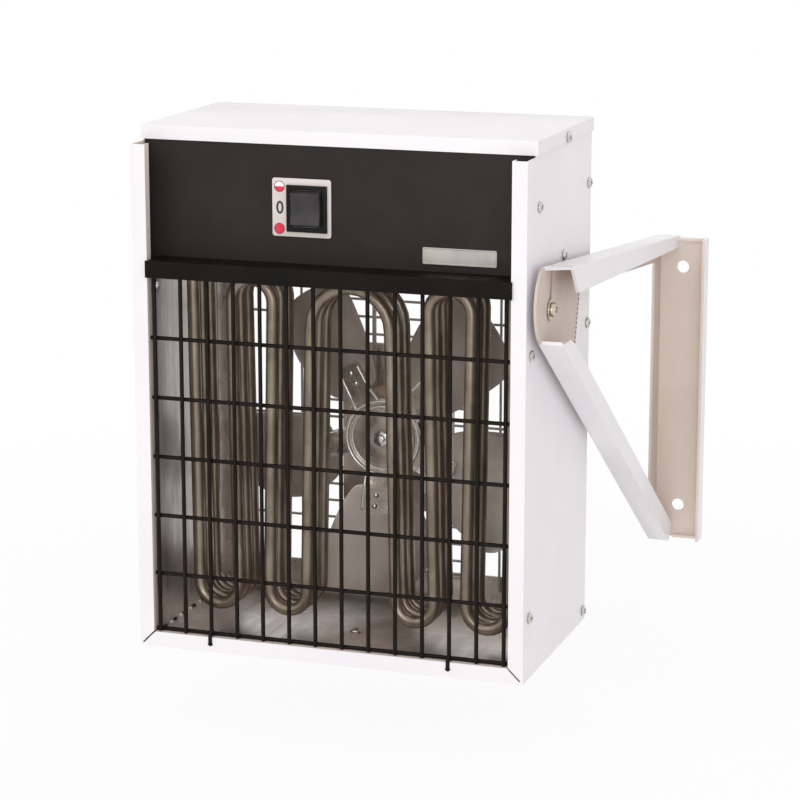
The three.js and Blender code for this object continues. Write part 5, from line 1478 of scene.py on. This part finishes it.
@dataclass
class Motor:
    """A shaded-pole motor in a vented can, on a plate that the guard carries."""

    height: float = 131.3
    radius: float = 34.0
    front: float = 123.4
    back: float = 149.4
    shell: Profile = ((5.0, 0.0), (2.0, 1.2), (0.6, 4.0), (0.6, 11.0), (0.0, 11.4))
    boss: float = 12.0
    boss_front: float = 121.4
    boss_edge: float = 1.0
    vents: int = 10
    vent_half: float = 3.4
    vent_reach: tuple[float, float] = (17.0, 27.0)
    vent_proud: float = 0.06
    vent_deep: float = 1.0
    vent_edge: float = 0.6
    ties: int = 4
    tie_circle: float = 29.5
    tie_head: tuple[float, float] = (2.2, 1.0)
    plate_half_width: float = 42.0
    plate_z: tuple[float, float] = (70.6, 192.0)
    plate_y: tuple[float, float] = (149.7, 151.2)
    plate_corner: float = 6.0
    plate_screw_x: float = 34.0
    plate_screw_inset: float = 9.0
    plate_head: tuple[float, float] = (2.4, 0.9)
    head_seat: float = 0.2
    core: float = 0.78
    core_gap: float = 0.8
    lead_x: float = -16.0
    lead_y: float = 144.1
    lead_low: float = 162.8
    lead_rise: float = 260.9
    lead_bend: float = 8.0
    lead_end: float = 55.7

    def build(self) -> None:
        """Builds the can, its plate and the lead."""
        self.can()
        self.mounting_plate()
        self.lead()

    def can(self) -> None:
        """The can with rolled rims and a wider band, its vents in painted shade and its four tie screws."""
        piece = Piece("motor_can", "heater", "motor")
        boss, edge = self.boss, self.boss_edge
        profile = [(0, self.boss_front), (boss - edge, self.boss_front), (boss, self.boss_front + edge)]
        profile += [(boss, self.front - edge), (boss + edge, self.front)]
        profile += [(self.radius - inset, self.front + behind) for inset, behind in self.shell]
        profile += [(self.radius - inset, self.back - behind) for inset, behind in reversed(self.shell)]
        profile += [(0, self.back)]
        piece.add(backwards(Solid.turned(profile, sides=64), 0, self.height), MOTOR_METAL)
        low, high = self.vent_reach
        # The vents are dark blocks of painted shade in place of openings.
        for number in range(self.vents):
            turn = Matrix.Rotation(math.tau * number / self.vents, 4, Y)
            vent = Solid.block((-self.vent_half, self.front - self.vent_proud, low),
                               (self.vent_half, self.front + self.vent_deep, high))
            vent.rounded(self.vent_edge, steps=3)
            piece.add(vent.moved(Matrix.Translation((0, 0, self.height)) @ turn), PAINTED_SHADE)
        for number in range(self.ties):
            angle = math.tau * (number + 0.5) / self.ties
            at = (self.tie_circle * math.cos(angle), self.front - self.head_seat,
                  self.height + self.tie_circle * math.sin(angle))
            piece.add(ScrewHeads.dome(*self.tie_head).stood(at, -Y), SCREW_METAL)
        piece.finish()

    def mounting_plate(self) -> None:
        """The plate behind the motor, with a screw in each corner."""
        piece = Piece("motor_mount", "heater", "motor_plate")
        low, high = self.plate_z
        width = 2 * self.plate_half_width
        body = plate(0, (low + high) / 2, width, high - low, self.plate_corner, *self.plate_y)
        piece.add(body, ZINC_FLOOR)
        for x in (-self.plate_screw_x, self.plate_screw_x):
            for z in (low + self.plate_screw_inset, high - self.plate_screw_inset):
                at = (x, self.plate_y[0] - self.head_seat, z)
                piece.add(ScrewHeads.dome(*self.plate_head).stood(at, -Y), SCREW_METAL)
        piece.finish()

    def lead(self) -> None:
        """The two-core lead from the motor to the terminals, with its cores side by side."""
        piece = Piece("motor_wires", "heater", "motor_lead")
        for side in (-1, 1):
            x = self.lead_x + side * self.core_gap
            tube = Tube((x, self.lead_y, self.lead_low), Z, self.core, sides=10)
            tube.straight_to((x, self.lead_y, self.lead_rise))
            tube.bend((self.lead_x + self.lead_bend, self.lead_y, self.lead_rise), Y, 90, steps=8)
            piece.add(tube.straight_to((self.lead_end, self.lead_y, tube.at.z)).closed(), LEAD_SKIN)
        piece.finish()


# ---------------------------------------------------------------- switch and badge

@dataclass
class Switch:
    """A three-position rocker switch on a pale plate, with dots and a zero as its marks."""

    x: float = -19.5
    z: float = 307.2
    plate_at: tuple[float, float] = (-23.55, 307.6)
    plate_size: tuple[float, float] = (41.5, 39.0)
    plate_corner: float = 1.8
    plate_y: tuple[float, float] = (20.0, 20.8)
    plate_edge: float = 0.25
    frame_rim: tuple[float, int, float, float] = (0.5, 3, 60.0, 4.0)
    rocker_y: float = 20.5
    rocker_radius: float = 12.2
    rocker_face: float = 6.5
    rocker_dish: float = 1.5
    rocker_half: float = 10.2
    rocker_rim: tuple[float, int, float] = (0.45, 3, 32.0)
    heel: float = 65.0
    steps: int = 10
    ink: float = 0.03
    dot: float = 3.8
    dot_rim: float = 0.5
    half_dot: tuple[float, float] = (-39.1, 321.4)
    full_dot: tuple[float, float] = (-39.3, 293.2)
    zero: tuple[float, float] = (-38.9, 307.4)
    zero_rings: Profile = ((2.6, 4.4), (1.15, 2.9))

    def build(self) -> None:
        """Builds the plate, its marks, the frame round the rocker and the rocker."""
        backing = plate(*self.plate_at, *self.plate_size, self.plate_corner, *self.plate_y, self.plate_edge)
        dress("switch_backing", "heater", "switch_plate", backing, PALE_PLATE)
        self.marks()
        housing = Solid.of_node("switch_housing").rounded(*self.frame_rim)
        dress("switch_frame", "heater", "switch_housing", housing, DARK_PLASTIC)
        self.rocker()

    def marks(self) -> None:
        """A half-filled dot, a zero and a filled dot, printed on the plate."""
        piece = Piece("switch_marks", "heater")
        front, ink = self.plate_y[0], self.ink
        for (x, z), fills in ((self.half_dot, (WHITE_INK, RED_INK)), (self.full_dot, (RED_INK, RED_INK))):
            piece.add(Solid.rod((x, front - ink, z), (x, front + ink, z), self.dot, sides=40), RING_INK)
            for finish, start in zip(fills, (0, 180)):
                half = arc((x, z), self.dot - self.dot_rim, start, start + 180, steps=20)
                piece.add(Solid.slab([(u, front - ink, w) for u, w in half], Y * -ink), finish)
        piece.add(self.digit(), BLACK_INK)
        piece.finish()

    def digit(self) -> Solid:
        """The zero, as an upright ring.

        Returns:
            The closed ring.
        """
        solid, rings = Solid(), []
        (x, z), front = self.zero, self.plate_y[0]
        for width, height in self.zero_rings:
            made = bmesh.ops.create_circle(solid.mesh, segments=32, radius=1.0)["verts"]
            place = (Matrix.Translation((x, front, z)) @ Matrix.Diagonal((width, 1, height, 1))
                     @ Matrix.Rotation(math.pi / 2, 4, X))
            bmesh.ops.transform(solid.mesh, matrix=place, verts=made)
            rings += list({edge for vert in made for edge in vert.link_edges})
        bmesh.ops.bridge_loops(solid.mesh, edges=rings)
        bmesh.ops.recalc_face_normals(solid.mesh, faces=solid.mesh.faces)
        bmesh.ops.solidify(solid.mesh, geom=solid.mesh.faces, thickness=2 * self.ink)
        return solid.outward()

    def rocker(self) -> None:
        """The dished rocker, with softened edges."""
        r, face = self.rocker_radius, self.rocker_face
        half = math.sqrt(r * r - face * face)
        reach = math.degrees(math.acos(face / r))
        outline = arc((0, 0), r, 180 - reach, self.heel, self.steps)
        outline += arc((0, 0), r, -self.heel, reach - 180, self.steps)
        for i in range(1, self.steps):
            share = 2 * i / self.steps - 1
            outline.append((self.rocker_dish * (1 - share * share) - face, half * share))
        points = [(self.x - self.rocker_half, self.rocker_y + u, self.z + v) for u, v in outline]
        key = Solid.slab(points, X * (2 * self.rocker_half)).rounded(*self.rocker_rim)
        dress("rocker_key", "switch_rocker", "rocker", key, KEY_PLASTIC, 35.0)


@dataclass
class Badge:
    """A bare brushed plate with a raised rim."""

    place: tuple[float, float] = (86.0, 280.5)
    size: tuple[float, float] = (50.6, 11.0)
    corner: float = 1.0
    front: float = 20.2
    back: float = 20.8
    rim: float = 0.7
    slope: float = 0.25
    sunk: float = 0.22

    def build(self) -> None:
        """Builds the plate, sunk inside its rim."""
        outline = [(u, self.back, w) for u, w in round_rectangle(*self.place, *self.size, self.corner)]
        body = Solid.slab(outline, Y * (self.front - self.back))
        face = min(body.mesh.faces, key=lambda f: f.calc_center_median().y)
        bmesh.ops.inset_region(body.mesh, faces=[face], thickness=self.rim, depth=0.0)
        bmesh.ops.inset_region(body.mesh, faces=[face], thickness=self.slope, depth=-self.sunk)
        dress("badge_bare", "heater", "badge_plate", body.outward(), BADGE, 30.0)


# ---------------------------------------------------------------- fasteners

DOME_CURVE = tuple((math.cos(math.radians(angle)), 0.2 + 0.8 * math.sin(math.radians(angle)))
                   for angle in range(0, 76, 15))
DOME = ((0.0, 0.0), (0.96, 0.0), *DOME_CURVE, (0.16, 0.92), (0.0, 0.5))  # shares of radius and rise


@dataclass
class ScrewHeads:
    """Domed cross-head screws in the casing's sides, lid and floor."""

    head: float = 3.8
    rise: float = 2.0
    cross_bar: tuple[float, float, float, float] = (2.1, 0.42, 0.62, 0.12)
    shank: float = 1.9
    neck: float = 0.8
    plain: float = 0.1
    point: float = 0.2
    turns: int = 6
    roots: tuple[float, float] = (0.55, 0.05)
    crests: tuple[float, float] = (1.2, 0.14)
    places: tuple[str, ...] = ("panel", "rear_top", "floor", "liner_top", "rear_middle",
                               "liner_bottom", "rear_bottom", "lid")

    @staticmethod
    def dome(radius: float, rise: float) -> Solid:
        """A screw head that stands along z, with a dimple in its crown.

        Args:
            radius: of the head.
            rise: the head's height.

        Returns:
            The closed head.
        """
        return Solid.turned([(radius * out, rise * up) for out, up in DOME], sides=24)

    @staticmethod
    def cross(rise: float, bar: tuple[float, float, float, float], turn: float) -> list[Solid]:
        """The two bars that fill a head's cross recess with shade.

        Args:
            rise: the head's height.
            bar: half its length, half its width, the share of the height where it starts, its edge.
            turn: the cross's angle, in degrees.

        Returns:
            The bars, which stand along z.
        """
        half, width, low, edge = bar
        bars = [Solid.block((-half, -width, rise * low), (half, width, rise * CROSS_TOP)) for _ in range(2)]
        return [block.rounded(edge, steps=1).moved(Matrix.Rotation(math.radians(turn + 90 * i), 4, Z))
                for i, block in enumerate(bars)]

    def build(self) -> None:
        """Builds a screw for each place on each side, and the one in the liner's floor."""
        for side, word in ((1, "right"), (-1, "left")):
            for place in self.places:
                self.screw(f"fixing_{word}_{place}", f"screw_{word}_{place}", X * side)
        self.screw("fixing_liner_floor", "screw_liner_floor", Z)

    def screw(self, name: str, node: str, along: Vector) -> None:
        """One screw: its head, the shade in its cross recess and its threaded shank.

        Args:
            name: the piece's name, which also sets how far the screw is turned.
            node: the CAD screw that gives its place and length.
            along: the way its head looks.
        """
        low, high = (corner / METRE - CASING_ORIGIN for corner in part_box(node))
        middle, half = (low + high) / 2, abs((high - low).dot(along)) / 2
        at, length = middle + along * (half - self.rise), 2 * half - self.rise
        piece = Piece(name, "heater", node)
        piece.add(self.dome(self.head, self.rise).stood(at, along), SCREW_METAL)
        for bar in self.cross(self.rise, self.cross_bar, sum(map(ord, name)) % 90):
            piece.add(bar.stood(at, along), PAINTED_SHADE)
        piece.add(Solid.turned(self.thread(length), sides=12).stood(at, along), SCREW_METAL)
        piece.finish(smooth_below=35.0)

    def thread(self, length: float) -> list[tuple[float, float]]:
        """The profile of a shank whose thread thickens from its tip to its head.

        Args:
            length: from under the head to the tip.

        Returns:
            The profile's points, from the tip upwards.
        """
        points = [(0.0, -length)]
        pitch = (length - self.point - self.plain) / self.turns
        (root, root_growth), (crest, crest_growth) = self.roots, self.crests
        for i in range(self.turns):
            z = -length + self.point + i * pitch
            points.append((self.shank * (root + root_growth * i), z))
            points.append((min(self.shank, crest + crest_growth * i), z + pitch / 2))
        neck = self.shank * self.neck
        return points + [(neck, -self.plain), (neck, 0.0), (0.0, 0.0)]


# ---------------------------------------------------------------- bracket and swivel

@dataclass
class Bracket:
    """One folded sheet: white outside, beige in its channel, with the swivel's hardware."""

    sheet: float = 2.0
    fold: float = 1.5
    shortest_fold: float = 10.0
    rim: tuple[float, int, float, float] = (0.25, 2, 50.0, 3.5)
    channel: tuple[float, float, float] = (150.0, 250.0, 150.0)
    pivot: tuple[float, float] = (32.0, 247.5)
    plate_x: float = 144.0
    nose_back: float = 60.0
    nose_slack: float = 0.1
    nose_facing: float = 0.9
    window: tuple[tuple[float, float], tuple[float, float]] = ((107.5, 249.3), (93.0, 198.0))
    # The nicks are dark triangles of painted shade at the teeth of the window's edge.
    nick_pitch: float = 3.11
    nick_gap: float = 0.3
    shade_nick: float = 3.0
    skin: tuple[float, float] = (0.3, 0.35)
    slot_shade: Profile = ((-2.0, 3.0), (3.4, 3.0), (9.3, 26.0), (3.9, 26.0))
    slot_shade_x: tuple[float, float] = (142.3, 0.3)
    washer_x: tuple[float, float] = (144.3, 145.3)
    washer_body: float = 6.6
    washer_teeth: int = 18
    tooth: tuple[float, float, float] = (0.6, 6.2, 7.45)
    tooth_inset: float = 0.1
    head_x: float = 145.6
    head: float = 5.0
    head_rise: float = 3.4
    cross_bar: tuple[float, float, float, float] = (2.7, 0.6, 0.6, 0.15)
    cross_turn: float = 25.0
    bolt: float = 2.4
    bolt_end: float = 131.0
    spacer: float = 8.0
    spacer_x: tuple[float, float] = (137.8, 141.7)
    edge: float = 0.4
    washer_edge: float = 0.2
    tooth_edge: float = 0.15
    insert_edge: float = 0.25

    def build(self) -> None:
        """Builds the sheet and the swivel's hardware."""
        piece = Piece("bracket_sheet", "bracket", "wall_bracket")
        sheet = Solid.of_node("wall_bracket").folded(self.fold, self.sheet, self.shortest_fold)
        piece.add(sheet.rounded(*self.rim), WHITE, BEIGE, self.channel)
        # Painted shade: the beige faces that look outwards on the pivot plate, and the nose's rim, take a
        # darker beige.
        beige, tone = piece.index_of(BEIGE), piece.index_of(SHADED_BEIGE)
        for face in piece.mesh.faces:
            if self.on_nose(face) or (face.material_index == beige and face.normal.x > STEEP):
                face.material_index = tone
        self.shades(piece)
        piece.finish()
        self.washer_piece()
        self.bolt_piece()
        start, end = ((x, *self.pivot) for x in self.spacer_x)
        spacer = Solid.rod(start, end, self.spacer, sides=32).rounded(self.edge)
        dress("swivel_spacer", "heater", "pivot_spacer", spacer, DARK_PLASTIC)
        for word in ("right", "left"):
            insert = Solid.of_node(f"pivot_insert_{word}")
            insert.rounded(self.insert_edge, steps=1, sharper_than=50.0)
            dress(f"swivel_insert_{word}", "heater", f"pivot_insert_{word}", insert, SCREW_METAL)

    def on_nose(self, face: bmesh.types.BMFace) -> bool:
        """Tells the thin rim of the plate's round nose, which gets painted shade, from the rest.

        Args:
            face: a face of the sheet.

        Returns:
            Whether it is on that rim.
        """
        x, y, _ = face.calc_center_median()
        aside = abs(face.normal.x) < self.nose_facing
        return aside and x < self.plate_x + self.nose_slack and y < self.nose_back

    def shades(self, piece: Piece) -> None:
        """Adds painted shade: dark nicks at the teeth along the window's front edge, and in the pivot's
        slot.

        Args:
            piece: the bracket's piece.
        """
        (y, z), (low_y, low_z) = self.window
        inset, thickness = self.skin
        half = self.nick_pitch / 2 - self.nick_gap
        for number in range(int((z - low_z) // self.nick_pitch)):
            share = (number + 0.5) * self.nick_pitch / (z - low_z)
            at = Vector((self.plate_x - inset, y + (low_y - y) * share, z + (low_z - z) * share))
            shade_nick = [at + Vector((0.0, u, w)) for u, w in ((0.0, -half), (0.0, half), (-self.shade_nick, 0.0))]
            piece.add(Solid.slab(shade_nick, X * thickness), PAINTED_SHADE)
        (y, z), (x, thickness) = self.pivot, self.slot_shade_x
        piece.add(Solid.slab([(x, y + u, z + w) for u, w in self.slot_shade], X * thickness), PAINTED_SHADE)

    def washer_piece(self) -> None:
        """The serrated washer under the bolt's head."""
        piece = Piece("swivel_washer", "heater", "pivot_washer")
        (start, end), (y, z) = self.washer_x, self.pivot
        ring = Solid.rod((start, y, z), (end, y, z), self.washer_body, sides=32).rounded(self.washer_edge)
        piece.add(ring, SWIVEL_METAL)
        (half, low, high), inset = self.tooth, self.tooth_inset
        for number in range(self.washer_teeth):
            angle = math.tau * number / self.washer_teeth
            tooth = Solid.block((start + inset, -half, low), (end - inset, half, high))
            turn = Matrix.Translation((0, y, z)) @ Matrix.Rotation(angle, 4, X)
            piece.add(tooth.rounded(self.tooth_edge, steps=1).moved(turn), SWIVEL_METAL)
        piece.finish()

    def bolt_piece(self) -> None:
        """The pivot bolt, with a cross in its domed head."""
        piece = Piece("swivel_bolt", "heater", "pivot_bolt")
        at = (self.head_x, *self.pivot)
        piece.add(ScrewHeads.dome(self.head, self.head_rise).stood(at, X), SWIVEL_METAL)
        # The cross in the head is filled with painted shade.
        for bar in ScrewHeads.cross(self.head_rise, self.cross_bar, self.cross_turn):
            piece.add(bar.stood(at, X), PAINTED_SHADE)
        shank = Solid.rod((self.bolt_end, *self.pivot), at, self.bolt, sides=20)
        piece.add(shank.rounded(self.edge), SCREW_METAL)
        piece.finish(smooth_below=35.0)


@dataclass
class Compartment:
    """What sits in and behind the switch compartment."""

    gland: tuple[float, float] = (95.0, 305.0)
    hexagon: float = 11.0
    thread: float = 8.0
    bore: float = 4.5
    outside: float = 157.3
    inside: float = 155.5
    nut: float = 5.0
    nose: float = 12.0
    skirt: float = 2.0
    shoulders: Profile = ((0.0, 4.0), (1.2, 1.2), (2.4, 0.0))
    overlap: float = 0.5
    nut_edge: float = 0.6
    block_edge: float = 0.4

    def build(self) -> None:
        """Builds the gland and finishes the terminal block and the thermal cut-out."""
        self.cable_gland()
        block = Solid.of_node("terminal_block").rounded(self.block_edge, sharper_than=50.0)
        dress("terminals", "heater", "terminal_block", block, TERMINAL_PLASTIC)
        cutout = Solid.of_node("thermal_cutout").rounded(self.block_edge, sharper_than=60.0)
        dress("limiter", "heater", "thermal_cutout", cutout, SCREW_METAL)

    def cable_gland(self) -> None:
        """A gland with a hollow dome nut, a hexagonal collar and a nut inside."""
        piece = Piece("gland_fitting", "heater", "cable_gland")
        x, z = self.gland
        for start in (self.outside, self.inside - self.nut):
            nut = Solid.rod((x, start, z), (x, start + self.nut, z), self.hexagon, sides=6)
            piece.add(nut.rounded(self.nut_edge), DARK_PLASTIC)
        start, end = self.inside - self.overlap, self.outside + self.overlap
        barrel = Solid.rod((x, start, z), (x, end, z), self.thread, sides=24)
        piece.add(barrel, DARK_PLASTIC)
        low, end = self.outside + self.skirt, self.outside + self.nose
        dome = [(self.bore, low), (self.thread, low)]
        dome += [(self.thread - inset, end - ahead) for inset, ahead in self.shoulders]
        dome += [(self.bore, end), (self.bore, low)]
        piece.add(backwards(Solid.turned(dome, sides=40), x, z), DARK_PLASTIC)
        piece.finish()


# ---------------------------------------------------------------- studio

@dataclass(frozen=True)
class Lamp:
    """A large square lamp: its place and its side in metres, and its power in watts."""

    name: str
    at: tuple[float, float, float]
    size: float
    power: float


@dataclass
class Studio:
    """A pale floor, a white surround, soft lamps and the camera of the photograph, in metres."""

    camera_at: tuple[float, float, float] = (0.4538, -2.0127, 0.4545)
    pitch: float = 77.224
    yaw: float = 18.6815
    lens: float = 123.66
    sensor: float = 36.0
    lamp_aim: tuple[float, float, float] = (-0.16, -0.28, 0.05)
    middle: tuple[float, float] = (-0.16, -0.27)
    floor_z: float = -0.1912
    floor_half: float = 3.0
    floor_tones: tuple[Colour, Colour] = (linear(243, 242, 242), linear(240, 239, 240))
    floor_clouds: float = 300.0
    floor_roughness: float = 0.9
    floor_fade: tuple[float, float, float, float] = (0.9, 1.0, 0.4, 1.0)
    ambient: Colour = (0.80, 0.79, 0.80)
    lamps: tuple[Lamp, ...] = (Lamp("key_lamp", (-1.6, -2.4, 1.7), 1.6, 12.0),
                               Lamp("front_lamp", (0.5, -2.9, 0.5), 1.2, 15.5),
                               Lamp("top_lamp", (0.2, -0.4, 2.2), 1.6, 6.0))

    def build(self) -> None:
        """Sets up the view, the camera, the floor, the surround and the lamps."""
        bpy.context.scene.view_settings.view_transform = "Standard"
        self.camera()
        self.floor()
        self.surround()
        for lamp in self.lamps:
            self.hang(lamp)

    def camera(self) -> None:
        """The camera, as it was fitted to the casing's edges."""
        data = bpy.data.cameras.new("photo_camera")
        data.lens, data.sensor_width = self.lens, self.sensor
        camera = bpy.data.objects.new("photo_camera", data)
        camera.location = self.camera_at
        camera.rotation_euler = (math.radians(self.pitch), 0.0, math.radians(self.yaw))
        bpy.context.scene.collection.objects.link(camera)
        bpy.context.scene.camera = camera

    def hang(self, lamp: Lamp) -> None:
        """Hangs a lamp so that it looks at the heater.

        Args:
            lamp: the lamp.
        """
        data = bpy.data.lights.new(lamp.name, "AREA")
        data.size, data.energy = lamp.size, lamp.power
        light = bpy.data.objects.new(lamp.name, data)
        light.location = lamp.at
        aim = Vector(self.lamp_aim) - Vector(lamp.at)
        light.rotation_euler = aim.to_track_quat("-Z", "Y").to_euler()
        bpy.context.scene.collection.objects.link(light)

    def seen(self, tree: bpy.types.NodeTree) -> bpy.types.NodeSocket:
        """Tells what the eye sees from what lights the object.

        Args:
            tree: the nodes to add to.

        Returns:
            1 where the eye, a reflection or a see-through ray looks, 0 for light on the object.
        """
        path = tree.nodes.new("ShaderNodeLightPath")
        total = path.outputs["Is Camera Ray"]
        for other in ("Is Glossy Ray", "Is Transmission Ray"):
            node = tree.nodes.new("ShaderNodeMath")
            node.operation, node.use_clamp = "ADD", True
            tree.links.new(total, node.inputs[0])
            tree.links.new(path.outputs[other], node.inputs[1])
            total = node.outputs[0]
        return total

    def floor(self) -> None:
        """A wide floor that keeps a soft shadow near the heater and is plain white farther off."""
        solid = Solid()
        bmesh.ops.create_grid(solid.mesh, x_segments=4, y_segments=4, size=self.floor_half)
        data = bpy.data.meshes.new("studio_floor")
        solid.mesh.to_mesh(data)
        solid.mesh.free()
        data.transform(Matrix.Translation((0, 0, self.floor_z)))
        data.materials.append(self.floor_material())
        floor = bpy.data.objects.new("studio_floor", data)
        bpy.context.scene.collection.objects.link(floor)

    def floor_material(self) -> bpy.types.Material:
        """A pale matt coat that fades to plain white away from the heater.

        Returns:
            The material.
        """
        material = bpy.data.materials.new("studio_floor")
        tree = ShaderTree(material)
        place = tree.place(Grain.EVEN.value)
        tone = tree.blend(tree.noise(place, self.floor_clouds), *self.floor_tones)
        tree.join(tone, tree.shader.inputs["Base Color"])
        tree.shader.inputs["Roughness"].default_value = self.floor_roughness
        glow = tree.add("ShaderNodeEmission")
        away = tree.add("ShaderNodeVectorMath", operation="DISTANCE")
        tree.join(place, away.inputs[0])
        away.inputs[1].default_value = (*self.middle, self.floor_z)
        fade = tree.spread(away.outputs["Value"], *self.floor_fade)
        mix = tree.add("ShaderNodeMixShader")
        tree.join(tree.sum("MULTIPLY", self.seen(tree.tree), fade), mix.inputs[0])
        tree.join(tree.shader.outputs["BSDF"], mix.inputs[1])
        tree.join(glow.outputs["Emission"], mix.inputs[2])
        output = next(node for node in tree.tree.nodes if node.type == "OUTPUT_MATERIAL")
        tree.join(mix.outputs["Shader"], output.inputs["Surface"])
        return material

    def surround(self) -> None:
        """A world that is white to the eye and a plain soft light on the object."""
        world = bpy.data.worlds.new("studio_world")
        world.use_nodes = True
        tree = world.node_tree
        background = next(node for node in tree.nodes if node.type == "BACKGROUND")
        mix = tree.nodes.new("ShaderNodeMix")
        mix.data_type = "RGBA"
        tree.links.new(self.seen(tree), mix.inputs[0])
        mix.inputs[6].default_value = (*self.ambient, 1.0)
        mix.inputs[7].default_value = (1.0, 1.0, 1.0, 1.0)
        tree.links.new(mix.outputs[2], background.inputs["Color"])
        background.inputs["Strength"].default_value = 1.0
        bpy.context.scene.world = world


# ---------------------------------------------------------------- build


def main() -> None:
    """Builds the studio and every sub-assembly."""
    logging.basicConfig(level=logging.INFO, format="%(name)s: %(message)s", stream=sys.stdout)
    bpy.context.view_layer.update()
    for part in (Studio(), Casing(), FrontGrille(), RearGuard(), HeatingElements(), Fan(), Motor(),
                 Switch(), Badge(), ScrewHeads(), Bracket(), Compartment()):
        LOG.info("building %s", type(part).__name__)
        part.build()


if __name__ == "__main__":
    main()
